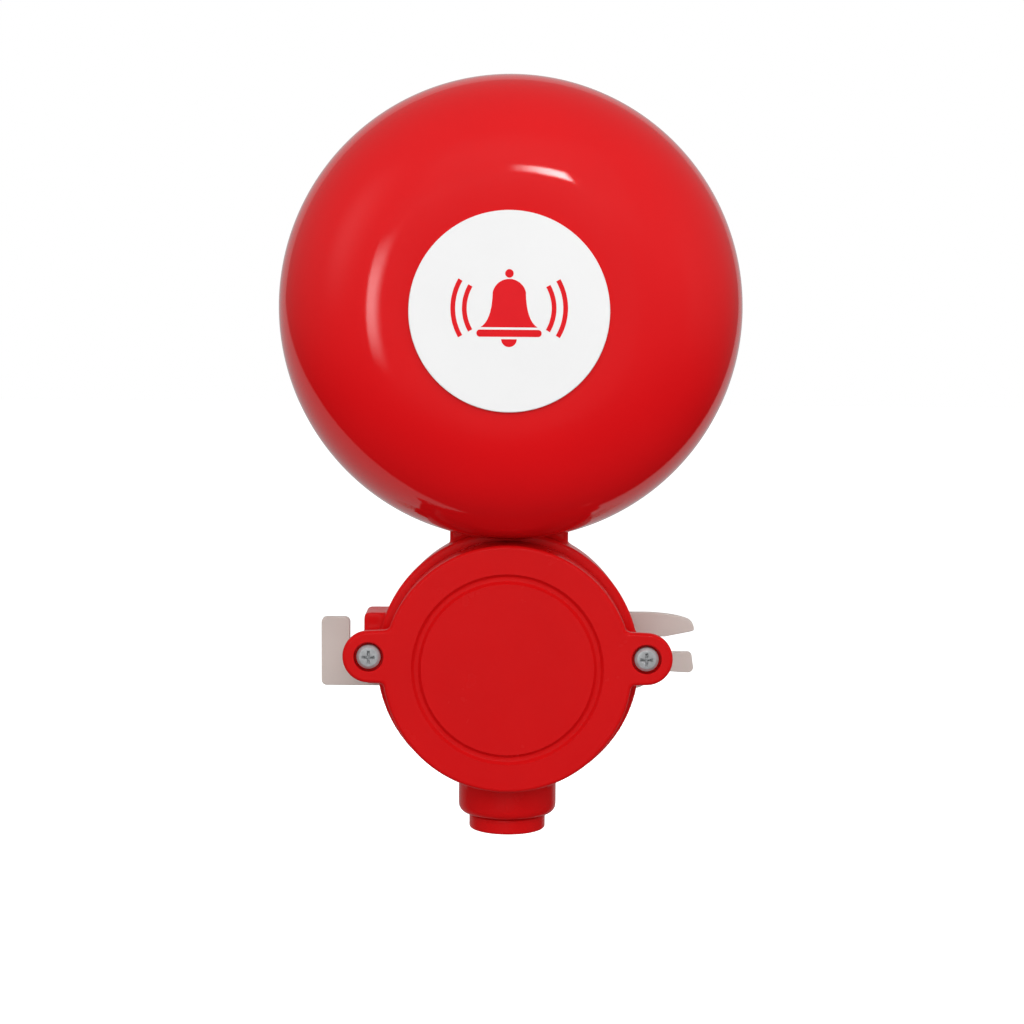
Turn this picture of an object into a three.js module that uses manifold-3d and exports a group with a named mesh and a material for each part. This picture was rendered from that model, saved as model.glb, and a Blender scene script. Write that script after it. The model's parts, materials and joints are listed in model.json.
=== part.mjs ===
// Wall-mounted electric fire alarm bell, as an assembly of separate pieces.
//
// A pressed steel gong stands in front of a sealed solenoid chamber. A neck joins the chamber to a
// round junction box with a screwed cover, a conduit hub points down from the box, and a flat
// bracket behind it hooks over two wall screws.
//
// Millimetres, +Z up. The wall is the plane y = 0 and the bell faces -Y. The origin is the point
// where the gong's axis meets the wall.
import * as THREE from 'three';
import { mergeVertices } from 'three/addons/utils/BufferGeometryUtils.js';
import Module from 'manifold-3d';

const wasm = await Module();
wasm.setup();

// ---------------------------------------------------------------- driving dimensions

const GAP = 0.3; // space left between separate pieces that meet
const HOLE_PLAY = 0.35; // radial play of a screw or pin in its hole
const ROUND = 40; // facets round the large turned pieces
const FINE = 16; // facets round a bore or a boss
const SMALL = 10; // facets round a screw

// Gong
const GONG_RADIUS = 75;
const GONG_DEPTH = 36;
const GONG_WALL = 1.6;
const GONG_RIM_Y = -30;
const GONG_CROWN_RADIUS = 33; // flat ring that carries the label disc
const GONG_DISH_RADIUS = 18; // centre is dished for the fixing nut
const GONG_DISH_DEPTH = 6;
const GONG_HOLE_RADIUS = 3.6;
const LABEL_RADIUS = 31.2;
const LABEL_THICKNESS = 1.1;

// Solenoid chamber behind the gong
const CHAMBER_RADIUS = 35;
const CHAMBER_WALL = 3.5;
const CHAMBER_FRONT_Y = -52;
const CHAMBER_BACK_Y = -4.2;
const CHAMBER_FACE = 3; // thickness of the front wall
const REAR_COVER_THICKNESS = 2.6;
const REAR_SCREW_CIRCLE = 28;

// Neck and junction box
const BACK_Y = -3.3; // back of the casting, in front of the bracket
const NECK_HALF_WIDTH = 19.5;
const NECK_FRONT_Y = -25;
const BOX_Z = -116.2; // height of the junction box's axis
const BOX_RADIUS = 43.4;
const BOX_BORE = 37.5;
const BOX_RIM_Y = -28.5;
const BOX_FLOOR_Y = -7;
const EAR_X = 45; // cover screws, left and right of the box's axis
const EAR_RISE = 3.8; // and this far above it
const EAR_RADIUS = 8.5;
const EAR_BOSS_RADIUS = 5.5; // screw boss behind each ear
const EAR_BOSS_END_Y = -23;

// Junction box cover
const COVER_RADIUS = 40.5;
const COVER_FRONT_Y = -44;
const COVER_BACK_Y = BOX_RIM_Y - 0.8;
const COVER_WALL = 3.5;
const COVER_EDGE = 1.2;
const COVER_EAR_BACK_Y = -41; // the ears are level with the cover's face
const GASKET_INNER = 38.7;
const GASKET_OUTER = 39.9;
const GROOVE_INNER = 28.3;
const GROOVE_OUTER = 30.9;
const GROOVE_DEPTH = 1.1;

// Conduit hub and cable gland
const HUB_RADIUS = 16.3;
const HUB_Y = -18;
const HUB_END_Z = BOX_Z - 52.3;
const HUB_BORE = 10; // M20 entry
const GLAND_RADIUS = 12.7;
const GLAND_END_Z = BOX_Z - 57.7;
const CABLE_HOLE = 4;

// Bracket
const BRACKET_THICKNESS = 3;
const BRACKET_SCREW_X = 27;

// Striker, on a vertical line inside the gong's rim
const STRIKER_Y = -35;
const STRIKER_TRAVEL = 4;
const STRIKER_REST_TOP = 68.2;
const ROD_RADIUS = 1.6;
const BORE_RADIUS = 4.2; // bore of the coil bobbin
const COIL_TOP_Z = 10;
const COIL_BOTTOM_Z = -18;
const COIL_RADIUS = 11;
const YOKE_PLATE = 3;

// ---------------------------------------------------------------- finishes

const FINISHES = {
  redGloss: { color: 0xd8141a, roughness: 0.15, metalness: 0 },
  redSatin: { color: 0xc41216, roughness: 0.35, metalness: 0 },
  bracketGrey: { color: 0xcbc1bb, roughness: 0.5, metalness: 0 },
  white: { color: 0xf0f0f0, roughness: 0.4, metalness: 0 },
  zinc: { color: 0xb4b7ba, roughness: 0.3, metalness: 1 },
  iron: { color: 0x6f7276, roughness: 0.45, metalness: 1 },
  brass: { color: 0xc49a4a, roughness: 0.3, metalness: 1 },
  copper: { color: 0xb0642f, roughness: 0.35, metalness: 1 },
  rubber: { color: 0x1c1c1c, roughness: 0.8, metalness: 0 },
  nylon: { color: 0xe9e4d4, roughness: 0.5, metalness: 0 },
  black: { color: 0x202224, roughness: 0.5, metalness: 0 },
  board: { color: 0x1d6b3a, roughness: 0.5, metalness: 0 },
  leadRed: { color: 0xc02020, roughness: 0.5, metalness: 0 },
  leadBlack: { color: 0x181818, roughness: 0.5, metalness: 0 },
};

// ---------------------------------------------------------------- helpers

/** Merge shared vertices, drop collapsed triangles and turn every face outwards. */
function closed(geometry) {
  geometry.deleteAttribute('normal');
  geometry.deleteAttribute('uv');
  const merged = mergeVertices(geometry, 1e-4);
  const at = merged.attributes.position;
  const corners = Array.from(merged.index.array);
  const kept = [];
  const points = [new THREE.Vector3(), new THREE.Vector3(), new THREE.Vector3()];
  let volume = 0;
  for (let i = 0; i < corners.length; i += 3) {
    const [a, b, c] = corners.slice(i, i + 3);
    if (a === b || b === c || c === a) continue;
    [a, b, c].forEach((corner, k) => points[k].fromBufferAttribute(at, corner));
    volume += points[0].dot(points[1].clone().cross(points[2]));
    kept.push([a, b, c]);
  }
  merged.setIndex(kept.flatMap(([a, b, c]) => (volume < 0 ? [a, c, b] : [a, b, c])));
  merged.computeVertexNormals();
  return merged;
}

/** A solid for cutting and joining, from a closed geometry. */
function solid(geometry) {
  const shape = closed(geometry);
  return new wasm.Manifold(new wasm.Mesh({
    numProp: 3,
    vertProperties: new Float32Array(shape.attributes.position.array),
    triVerts: new Uint32Array(shape.index.array),
  }));
}

/** The geometry of a cut or joined solid. */
function geometryOf(body) {
  const mesh = body.getMesh();
  const geometry = new THREE.BufferGeometry();
  geometry.setAttribute('position', new THREE.BufferAttribute(mesh.vertProperties, 3));
  geometry.setIndex(new THREE.BufferAttribute(mesh.triVerts, 1));
  geometry.computeVertexNormals();
  return geometry;
}

/** Cut every solid in a list from a body. */
const cut = (body, tools) => tools.reduce((left, tool) => left.subtract(tool), body);

/** Join every solid in a list to a body. */
const join = (body, others) => others.reduce((whole, other) => whole.add(other), body);

/** Round bar along Y between two depths. */
function barY(radius, from, to, { x = 0, z = 0, endRadius = radius, facets = FINE } = {}) {
  const geometry = new THREE.CylinderGeometry(endRadius, radius, to - from, facets);
  return geometry.translate(x, (from + to) / 2, z);
}

/** Round bar along Z between two heights. */
function barZ(radius, from, to, { x = 0, y = 0, facets = FINE } = {}) {
  const geometry = new THREE.CylinderGeometry(radius, radius, to - from, facets);
  return geometry.rotateX(Math.PI / 2).translate(x, y, (from + to) / 2);
}

/** Solid of revolution about the Y axis: pairs of radius and depth. */
function turned(profile, facets) {
  return new THREE.LatheGeometry(profile.map(([r, y]) => new THREE.Vector2(r, y)), facets);
}

/** Solid of revolution about the Z axis: pairs of radius and height. */
function turnedZ(profile, facets) {
  return turned(profile, facets).rotateX(Math.PI / 2);
}

/** Flat ring along Y. */
function ringY(inner, outer, from, to, facets) {
  return turned([[inner, from], [outer, from], [outer, to], [inner, to], [inner, from]], facets);
}

/** Flat ring along Z. */
function ringZ(inner, outer, from, to, facets) {
  return turnedZ([[inner, from], [outer, from], [outer, to], [inner, to], [inner, from]], facets);
}

/** Box given by its lowest and highest corners. */
function block([x0, y0, z0], [x1, y1, z1]) {
  const geometry = new THREE.BoxGeometry(x1 - x0, y1 - y0, z1 - z0);
  return geometry.translate((x0 + x1) / 2, (y0 + y1) / 2, (z0 + z1) / 2);
}

/** Plate whose outline lies in the X-Z plane, from its front depth to its back depth. */
function plate(outline, front, back, curveSegments = 6) {
  const options = { depth: back - front, bevelEnabled: false, curveSegments };
  return new THREE.ExtrudeGeometry(outline, options).rotateX(Math.PI / 2).translate(0, back, 0);
}

/** Rectangle outline with round corners. */
function roundedRectangle(x0, z0, x1, z1, r) {
  const outline = new THREE.Shape();
  outline.moveTo(x0 + r, z0);
  outline.lineTo(x1 - r, z0);
  outline.absarc(x1 - r, z0 + r, r, -Math.PI / 2, 0);
  outline.lineTo(x1, z1 - r);
  outline.absarc(x1 - r, z1 - r, r, 0, Math.PI / 2);
  outline.lineTo(x0 + r, z1);
  outline.absarc(x0 + r, z1 - r, r, Math.PI / 2, Math.PI);
  outline.lineTo(x0, z0 + r);
  outline.absarc(x0 + r, z0 + r, r, Math.PI, Math.PI * 1.5);
  return outline;
}

/** Round wire along a smooth curve through some points. */
function wire(points, radius, steps) {
  const section = new THREE.Shape();
  section.absarc(0, 0, radius, 0, Math.PI * 2);
  const extrudePath = new THREE.CatmullRomCurve3(points.map((p) => new THREE.Vector3(...p)));
  return new THREE.ExtrudeGeometry(section, { steps, curveSegments: 3, extrudePath });
}

/** Pan-head screw: the seat of its head is at y = 0, its head at -Y and its shank at +Y. */
function panScrew({ head, height, shank, length }) {
  const edge = height * 0.3;
  return turned([
    [0, -height], [head - edge, -height], [head, edge - height], [head, 0],
    [shank, 0], [shank, length], [0, length],
  ], SMALL);
}

/** Countersunk screw: the top of its head is at y = 0 and its shank points to -Y. */
function countersunkScrew({ head, shank, length }) {
  return turned([
    [0, -length], [shank, -length], [shank, shank - head - GAP], [head, -GAP], [head, 0], [0, 0],
  ], SMALL);
}

/** Clearance for a countersunk screw let in just below a face at the depth `face`. */
function countersink({ head, shank, length }, face, x, z) {
  const hole = shank + HOLE_PLAY;
  const mouth = head + HOLE_PLAY;
  const top = face + 1;
  const seat = face - 2 * GAP;
  return turned([
    [0, face - GAP - length - GAP], [hole, face - GAP - length - GAP],
    [hole, seat - head + shank], [mouth, seat], [mouth, top], [0, top],
  ], SMALL).translate(x, 0, z);
}

/** Add a named mesh with its own material to a group. */
function add(group, name, geometry, finish, [x, y, z] = [0, 0, 0], turnZ = 0) {
  const mesh = new THREE.Mesh(geometry, new THREE.MeshStandardMaterial(FINISHES[finish]));
  mesh.name = name;
  mesh.position.set(x, y, z);
  mesh.rotation.z = turnZ;
  group.add(mesh);
}

const SIDES = [['left', -1], ['right', 1]];

// ---------------------------------------------------------------- screws by size

const REAR_SCREW = { head: 2.9, shank: 1.45, length: 11 };
const BRACKET_SCREW = { head: 3.5, shank: 1.8, length: 9.5 };
const COVER_SCREW = { head: 3.9, height: 3, shank: 1.9, length: 17.5 };
const BOARD_SCREW = { head: 2.4, height: 1.6, shank: 1.2, length: 6 };
const YOKE_SCREW = { head: 2.7, height: 1.8, shank: 1.4, length: 4 };
const BLOCK_SCREW = { head: 2.5, height: 1.7, shank: 1.2, length: 14.6 };
const EARTH_SCREW = { head: 3.2, height: 2.2, shank: 1.8, length: 5.6 };

// ---------------------------------------------------------------- gong

/** Points of the gong's shoulder from the crown to the rim, moved in from the outer face. */
function gongShoulder(inset) {
  const front = GONG_RIM_Y - GONG_DEPTH;
  const curve = new THREE.CubicBezierCurve(
    new THREE.Vector2(GONG_CROWN_RADIUS, front),
    new THREE.Vector2(GONG_RADIUS * 0.8, front),
    new THREE.Vector2(GONG_RADIUS - 0.4, front + GONG_DEPTH * 0.42),
    new THREE.Vector2(GONG_RADIUS, GONG_RIM_Y),
  );
  const steps = 7;
  const points = [];
  for (let i = 0; i <= steps; i += 1) {
    const at = curve.getPoint(i / steps);
    const along = curve.getTangent(i / steps);
    const y = i === steps ? GONG_RIM_Y : at.y + along.x * inset;
    points.push([at.x - along.y * inset, y]);
  }
  return points;
}

/** Pressed gong with a dished centre. */
function gongGeometry() {
  const front = GONG_RIM_Y - GONG_DEPTH;
  const floor = front + GONG_DISH_DEPTH;
  const foot = GONG_DISH_RADIUS - 3;
  const outer = [[GONG_HOLE_RADIUS, floor], [foot, floor], [GONG_DISH_RADIUS, front]];
  const inner = outer.map(([r, y], i) => [r + (i ? 1.2 : 0), y + GONG_WALL]);
  const profile = [
    ...outer, ...gongShoulder(0), ...gongShoulder(GONG_WALL).reverse(), ...inner.reverse(), outer[0],
  ];
  return closed(turned(profile, ROUND));
}

function buildGong() {
  const group = new THREE.Group();
  const dishFloor = GONG_RIM_Y - GONG_DEPTH + GONG_DISH_DEPTH;
  const labelBack = GONG_RIM_Y - GONG_DEPTH - GAP;
  const washerBack = dishFloor - GAP;
  const washer = 1.2;
  const nutBack = washerBack - washer - GAP;
  const nut = 3.2;
  const stud = 3;
  const studEnd = nutBack - nut;
  const collarBack = CHAMBER_FRONT_Y - GAP;
  const collarFront = dishFloor + GONG_WALL + GAP;
  const spigotEnd = CHAMBER_FRONT_Y + CHAMBER_FACE - GAP;

  add(group, 'gong', gongGeometry(), 'redGloss');
  add(group, 'gong_post', closed(turned([
    [0, spigotEnd], [4, spigotEnd], [4, collarBack], [8, collarBack], [8, collarFront],
    [stud, collarFront], [stud, studEnd], [0, studEnd],
  ], FINE)), 'zinc');
  const washerRing = ringY(stud + HOLE_PLAY, 8, washerBack - washer, washerBack, FINE);
  add(group, 'gong_washer', closed(washerRing), 'zinc');
  const hexagon = solid(barY(5.7, nutBack - nut, nutBack, { facets: 6 }));
  const thread = solid(barY(stud + HOLE_PLAY, nutBack - nut - 1, nutBack + 1));
  add(group, 'gong_nut', geometryOf(hexagon.subtract(thread)), 'zinc');

  const spigotInner = 12;
  const spigotOuter = 13.6;
  const spigotDepth = 3;
  add(group, 'label_disc', closed(turned([
    [0, labelBack - LABEL_THICKNESS], [LABEL_RADIUS - 0.4, labelBack - LABEL_THICKNESS],
    [LABEL_RADIUS, labelBack - LABEL_THICKNESS + 0.4], [LABEL_RADIUS, labelBack],
    [spigotOuter, labelBack], [spigotOuter, labelBack + spigotDepth],
    [spigotInner, labelBack + spigotDepth], [spigotInner, labelBack], [0, labelBack],
  ], ROUND)), 'white');
  return group;
}

// ---------------------------------------------------------------- housing casting

/** Outline of the two ears with the bar that joins them, about the box's axis. */
function earOutline(radius) {
  const waist = radius + 2;
  const outline = new THREE.Shape();
  outline.moveTo(0, EAR_RISE - waist);
  outline.lineTo(EAR_X, EAR_RISE - radius);
  outline.absarc(EAR_X, EAR_RISE, radius, -Math.PI / 2, Math.PI / 2);
  outline.lineTo(0, EAR_RISE + waist);
  outline.lineTo(-EAR_X, EAR_RISE + radius);
  outline.absarc(-EAR_X, EAR_RISE, radius, Math.PI / 2, Math.PI * 1.5);
  return outline;
}

/** Places of the four rear cover screws. */
const REAR_SCREWS = [1, 3, 5, 7].map((eighth) => {
  const angle = (eighth * Math.PI) / 4;
  return [REAR_SCREW_CIRCLE * Math.cos(angle), REAR_SCREW_CIRCLE * Math.sin(angle)];
});

const BOARD_POST_X = 20.2;
const BOARD_BACK_Y = -12.3;
const BOARD_THICKNESS = 1.6;
const YOKE_SCREW_X = 13.6;
const YOKE_SCREW_Z = (COIL_TOP_Z + COIL_BOTTOM_Z) / 2;
const TERMINAL_SCREW_X = 15.5;
const EARTH_X = 21;
const EARTH_Z = BOX_Z - 19;
const BOSS_END_Y = -11; // front of the bosses on the junction box's floor

/** Outside of the casting: chamber, neck, box, ears, side boss and hub. */
function castingOutside() {
  const rimRound = 1.2;
  const chamber = solid(turned([
    [0, CHAMBER_FRONT_Y], [CHAMBER_RADIUS - 2, CHAMBER_FRONT_Y], [CHAMBER_RADIUS, CHAMBER_FRONT_Y + 2],
    [CHAMBER_RADIUS, CHAMBER_BACK_Y], [0, CHAMBER_BACK_Y],
  ], ROUND));
  const neck = solid(plate(
    roundedRectangle(-NECK_HALF_WIDTH, BOX_Z + 10, NECK_HALF_WIDTH, -15, 2),
    NECK_FRONT_Y, BACK_Y - 1, 3,
  ));
  const box = solid(turned([
    [0, BOX_RIM_Y], [BOX_RADIUS - rimRound, BOX_RIM_Y], [BOX_RADIUS, BOX_RIM_Y + rimRound],
    [BOX_RADIUS - 1.5, BACK_Y], [0, BACK_Y],
  ], ROUND).translate(0, 0, BOX_Z));
  const earBosses = plate(earOutline(EAR_BOSS_RADIUS), BOX_RIM_Y, EAR_BOSS_END_Y);
  const ears = solid(earBosses.translate(0, 0, BOX_Z));
  const sideBoss = solid(plate(
    roundedRectangle(-48, BOX_Z - 9, -30, BOX_Z + 15, 1.5), -22, -6, 3,
  ));
  const coverSpace = solid(barY(COVER_RADIUS + 0.6, COVER_FRONT_Y, BOX_RIM_Y, { z: BOX_Z, facets: ROUND }));
  const hub = solid(turnedZ([
    [0, HUB_END_Z], [HUB_RADIUS - 2.6, HUB_END_Z], [HUB_RADIUS - 0.8, HUB_END_Z + 0.8],
    [HUB_RADIUS, HUB_END_Z + 2.6], [HUB_RADIUS, BOX_Z - 30], [0, BOX_Z - 30],
  ], ROUND).translate(0, HUB_Y, 0)).subtract(coverSpace);
  return join(chamber, [neck, box, ears, sideBoss, hub]);
}

/** Hollows of the casting: chamber, box, lead passage and stepped conduit bore. */
function castingHollows() {
  const chamberBore = CHAMBER_RADIUS - CHAMBER_WALL;
  return [
    solid(barY(chamberBore, CHAMBER_FRONT_Y + CHAMBER_FACE, 1, { facets: ROUND })),
    solid(barY(BOX_BORE, BOX_RIM_Y - 1, BOX_FLOOR_Y, { z: BOX_Z, facets: ROUND })),
    solid(block([-7, -19, BOX_Z + BOX_BORE - 4], [7, -9, -chamberBore + 3])),
    solid(barZ(HUB_BORE - 2, BOX_Z - BOX_BORE - 3, BOX_Z - BOX_BORE + 3, { y: HUB_Y })),
    solid(barZ(HUB_BORE, HUB_END_Z - 1, BOX_Z - BOX_BORE - 2.3, { y: HUB_Y })),
  ];
}

/** Bosses and posts that stand inside the hollows. */
function castingBosses() {
  const rear = REAR_SCREWS.map(([x, z]) => barY(4, -20, CHAMBER_BACK_Y, { x, z, facets: SMALL }));
  const posts = SIDES.map(([, side]) => barY(
    2.7, CHAMBER_FRONT_Y + CHAMBER_FACE - 1, BOARD_BACK_Y - BOARD_THICKNESS - GAP,
    { x: side * BOARD_POST_X, facets: SMALL },
  ));
  const floor = SIDES.map(([, side]) => barY(
    4.5, BOSS_END_Y, BOX_FLOOR_Y + 1, { x: side * BRACKET_SCREW_X, z: BOX_Z, facets: SMALL },
  ));
  const earth = barY(4, BOSS_END_Y, BOX_FLOOR_Y + 1, { x: EARTH_X, z: EARTH_Z, facets: SMALL });
  return [...rear, ...posts, ...floor, earth].map(solid);
}

/** Screw holes, the striker's hole, the gasket groove and the gong post's hole. */
function castingHoles() {
  const hole = (radius, from, to, x, z) => barY(radius, from, to, { x, z, facets: SMALL });
  const boardFront = BOARD_BACK_Y - BOARD_THICKNESS;
  const rear = REAR_SCREWS.map(([x, z]) => hole(REAR_SCREW.shank + HOLE_PLAY, -11.8, 0, x, z));
  const posts = SIDES.map(([, side]) => hole(
    BOARD_SCREW.shank + HOLE_PLAY, boardFront - BOARD_SCREW.length, boardFront, side * BOARD_POST_X, 0,
  ));
  const yoke = SIDES.map(([, side]) => hole(
    YOKE_SCREW.shank + HOLE_PLAY, CHAMBER_FRONT_Y + 1, CHAMBER_FRONT_Y + CHAMBER_FACE + 1,
    side * YOKE_SCREW_X, YOKE_SCREW_Z,
  ));
  const bracket = SIDES.map(([, side]) => hole(
    BRACKET_SCREW.shank + HOLE_PLAY, -10.2, 0, side * BRACKET_SCREW_X, BOX_Z,
  ));
  const blockScrews = SIDES.map(([, side]) => hole(
    BLOCK_SCREW.shank + HOLE_PLAY, BOX_FLOOR_Y - 1, -4.4, side * TERMINAL_SCREW_X, BOX_Z,
  ));
  const cover = SIDES.map(([, side]) => hole(
    COVER_SCREW.shank + HOLE_PLAY, BOX_RIM_Y - 1, EAR_BOSS_END_Y + 1, side * EAR_X, BOX_Z + EAR_RISE,
  ));
  const earth = hole(EARTH_SCREW.shank + HOLE_PLAY, BOSS_END_Y - 1, -5.4, EARTH_X, EARTH_Z);
  const post = barY(4 + HOLE_PLAY, CHAMBER_FRONT_Y - 1, CHAMBER_FRONT_Y + CHAMBER_FACE + 1);
  const bush = barZ(4.6, CHAMBER_RADIUS - CHAMBER_WALL - 3, CHAMBER_RADIUS + 2, { y: STRIKER_Y });
  const groove = ringY(
    GASKET_INNER - 0.2, GASKET_OUTER + 0.2, BOX_RIM_Y - 1, BOX_RIM_Y + 1.1, ROUND,
  ).translate(0, 0, BOX_Z);
  return [...rear, ...posts, ...yoke, ...bracket, ...blockScrews, ...cover, earth, post, bush, groove]
    .map(solid);
}

function buildHousing() {
  const hollow = cut(castingOutside(), castingHollows());
  const casting = cut(join(hollow, castingBosses()), castingHoles());
  const group = new THREE.Group();
  add(group, 'housing_casting', geometryOf(casting), 'redSatin');
  return group;
}

// ---------------------------------------------------------------- rear cover and bracket

function buildRear() {
  const group = new THREE.Group();
  const radius = CHAMBER_RADIUS - 0.2;
  const cover = cut(
    solid(barY(radius, -REAR_COVER_THICKNESS, 0, { facets: ROUND })),
    REAR_SCREWS.map(([x, z]) => solid(countersink(REAR_SCREW, 0, x, z))),
  );
  add(group, 'rear_cover', geometryOf(cover), 'zinc');
  add(group, 'rear_gasket', closed(ringY(
    CHAMBER_RADIUS - CHAMBER_WALL, radius, CHAMBER_BACK_Y + GAP, -REAR_COVER_THICKNESS - GAP, ROUND,
  )), 'rubber');
  REAR_SCREWS.forEach(([x, z], i) => {
    add(group, `rear_screw_${i + 1}`, closed(countersunkScrew(REAR_SCREW)), 'zinc', [x, -GAP, z]);
  });
  return group;
}

/** Bracket outline: a hook open to the top on the left and a fork open to the right. */
function bracketOutline() {
  const corner = 1.8;
  const body = 47; // half the width of the plate behind the box
  const foot = -12.9;
  const footTop = -7.7;
  const lugLeft = -63.8;
  const lugRight = -54.1;
  const lugTop = 10.6;
  const forkEnd = 62.8;
  const slotRoot = 49;
  const fingerGapBottom = -0.4;
  const fingerGapTop = 4.9;
  const slotMiddle = (fingerGapBottom + fingerGapTop) / 2;
  const slotRound = (fingerGapTop - fingerGapBottom) / 2;
  const forkBottom = -6.8;
  const outline = new THREE.Shape();
  outline.moveTo(lugLeft + corner, foot);
  outline.lineTo(body - 4, foot);
  outline.quadraticCurveTo(body, foot, body + 2, forkBottom);
  outline.lineTo(forkEnd - 2, forkBottom);
  outline.absarc(forkEnd - 2, forkBottom + 1.4, 1.4, -Math.PI / 2, 0);
  outline.lineTo(forkEnd - 0.6, fingerGapBottom - 1.4);
  outline.absarc(forkEnd - 2, fingerGapBottom - 1.4, 1.4, 0, Math.PI / 2);
  outline.lineTo(slotRoot, fingerGapBottom);
  outline.absarc(slotRoot, slotMiddle, slotRound, -Math.PI / 2, Math.PI / 2, true);
  outline.lineTo(53, fingerGapTop);
  outline.lineTo(forkEnd - 2, fingerGapTop + 1.6);
  outline.quadraticCurveTo(forkEnd, fingerGapTop + 2, forkEnd, 7.4);
  outline.quadraticCurveTo(forkEnd, 10.8, forkEnd - 4, 11.6);
  outline.quadraticCurveTo(forkEnd - 8, 12.8, body, 13.1);
  outline.lineTo(-body + 1, 13.1);
  outline.absarc(-body + 1, 12.1, 1, Math.PI / 2, Math.PI);
  outline.lineTo(-body, footTop + 1);
  outline.absarc(-body - 1, footTop + 1, 1, 0, -Math.PI / 2, true);
  outline.lineTo(lugRight + 1, footTop);
  outline.absarc(lugRight + 1, footTop + 1, 1, -Math.PI / 2, Math.PI, true);
  outline.lineTo(lugRight, lugTop - corner);
  outline.absarc(lugRight - corner, lugTop - corner, corner, 0, Math.PI / 2);
  outline.lineTo(lugLeft + corner, lugTop);
  outline.absarc(lugLeft + corner, lugTop - corner, corner, Math.PI / 2, Math.PI);
  outline.lineTo(lugLeft, foot + corner);
  outline.absarc(lugLeft + corner, foot + corner, corner, Math.PI, Math.PI * 1.5);
  return outline;
}

function buildBracket() {
  const group = new THREE.Group();
  group.position.z = BOX_Z;
  const strap = cut(
    solid(plate(bracketOutline(), -BRACKET_THICKNESS, 0, 4)),
    SIDES.map(([, side]) => solid(countersink(BRACKET_SCREW, 0, side * BRACKET_SCREW_X, 0))),
  );
  add(group, 'mounting_bracket', geometryOf(strap), 'bracketGrey');
  for (const [name, side] of SIDES) {
    const place = [side * BRACKET_SCREW_X, -GAP, 0];
    add(group, `bracket_screw_${name}`, closed(countersunkScrew(BRACKET_SCREW)), 'zinc', place);
  }
  return group;
}

// ---------------------------------------------------------------- solenoid and striker

function buildSolenoid() {
  const group = new THREE.Group();
  group.position.y = STRIKER_Y;
  const top = COIL_TOP_Z + GAP;
  const bottom = COIL_BOTTOM_Z - GAP;
  const webBack = -COIL_RADIUS - 0.5;
  const webFront = CHAMBER_FRONT_Y + CHAMBER_FACE + GAP - STRIKER_Y;
  const yoke = cut(
    join(solid(block([-17, webFront, bottom - YOKE_PLATE], [17, webBack, top + YOKE_PLATE])), [
      solid(block([-11, webFront, top], [11, COIL_RADIUS - 1, top + YOKE_PLATE])),
      solid(block([-11, webFront, bottom - YOKE_PLATE], [11, COIL_RADIUS - 1, bottom])),
    ]),
    [
      solid(barZ(BORE_RADIUS, top - 1, top + YOKE_PLATE + 1)),
      solid(barZ(BORE_RADIUS, bottom - YOKE_PLATE - 1, bottom + 1)),
      ...SIDES.map(([, side]) => solid(barY(
        YOKE_SCREW.shank + HOLE_PLAY, webFront - 1, webBack + 1,
        { x: side * YOKE_SCREW_X, z: YOKE_SCREW_Z, facets: SMALL },
      ))),
    ],
  );
  add(group, 'solenoid_yoke', geometryOf(yoke), 'iron');
  for (const [name, side] of SIDES) {
    const place = [side * YOKE_SCREW_X, webBack + GAP, YOKE_SCREW_Z];
    add(group, `yoke_screw_${name}`, closed(panScrew(YOKE_SCREW)), 'zinc', place, Math.PI);
  }

  const flange = 1.5;
  const tube = BORE_RADIUS + 1.2;
  add(group, 'coil_bobbin', closed(turnedZ([
    [BORE_RADIUS, COIL_BOTTOM_Z], [COIL_RADIUS, COIL_BOTTOM_Z], [COIL_RADIUS, COIL_BOTTOM_Z + flange],
    [tube, COIL_BOTTOM_Z + flange], [tube, COIL_TOP_Z - flange], [COIL_RADIUS, COIL_TOP_Z - flange],
    [COIL_RADIUS, COIL_TOP_Z], [BORE_RADIUS, COIL_TOP_Z], [BORE_RADIUS, COIL_BOTTOM_Z],
  ], FINE)), 'nylon');
  add(group, 'coil_winding', closed(ringZ(
    tube + GAP, COIL_RADIUS - 0.6, COIL_BOTTOM_Z + flange + GAP, COIL_TOP_Z - flange - GAP, FINE,
  )), 'copper');
  add(group, 'pole_core', closed(ringZ(
    ROD_RADIUS + HOLE_PLAY, BORE_RADIUS - HOLE_PLAY, 0.8, top + YOKE_PLATE, FINE,
  )), 'iron');

  const bushFlange = 29;
  const bushTop = 38;
  add(group, 'guide_bush', closed(turnedZ([
    [ROD_RADIUS + 0.2, bushFlange], [6, bushFlange], [6, bushFlange + 1.4], [4.2, bushFlange + 1.4],
    [4.2, bushTop], [ROD_RADIUS + 0.2, bushTop], [ROD_RADIUS + 0.2, bushFlange],
  ], FINE)), 'brass');
  add(group, 'bush_seal', closed(ringZ(4.5, 7, CHAMBER_RADIUS + GAP, bushTop - 0.4, FINE)), 'rubber');

  const collarTop = 17.8;
  const springFoot = collarTop + 0.8;
  const springHead = bushFlange - 0.8;
  const turns = 4;
  const steps = 36;
  const coil = [];
  for (let i = 0; i <= steps; i += 1) {
    const angle = (i / steps) * turns * Math.PI * 2;
    const height = springFoot + (i / steps) * (springHead - springFoot);
    coil.push([3.5 * Math.cos(angle), 3.5 * Math.sin(angle), height]);
  }
  add(group, 'return_spring', closed(wire(coil, 0.45, steps)), 'zinc');
  return { group, collarTop };
}

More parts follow.
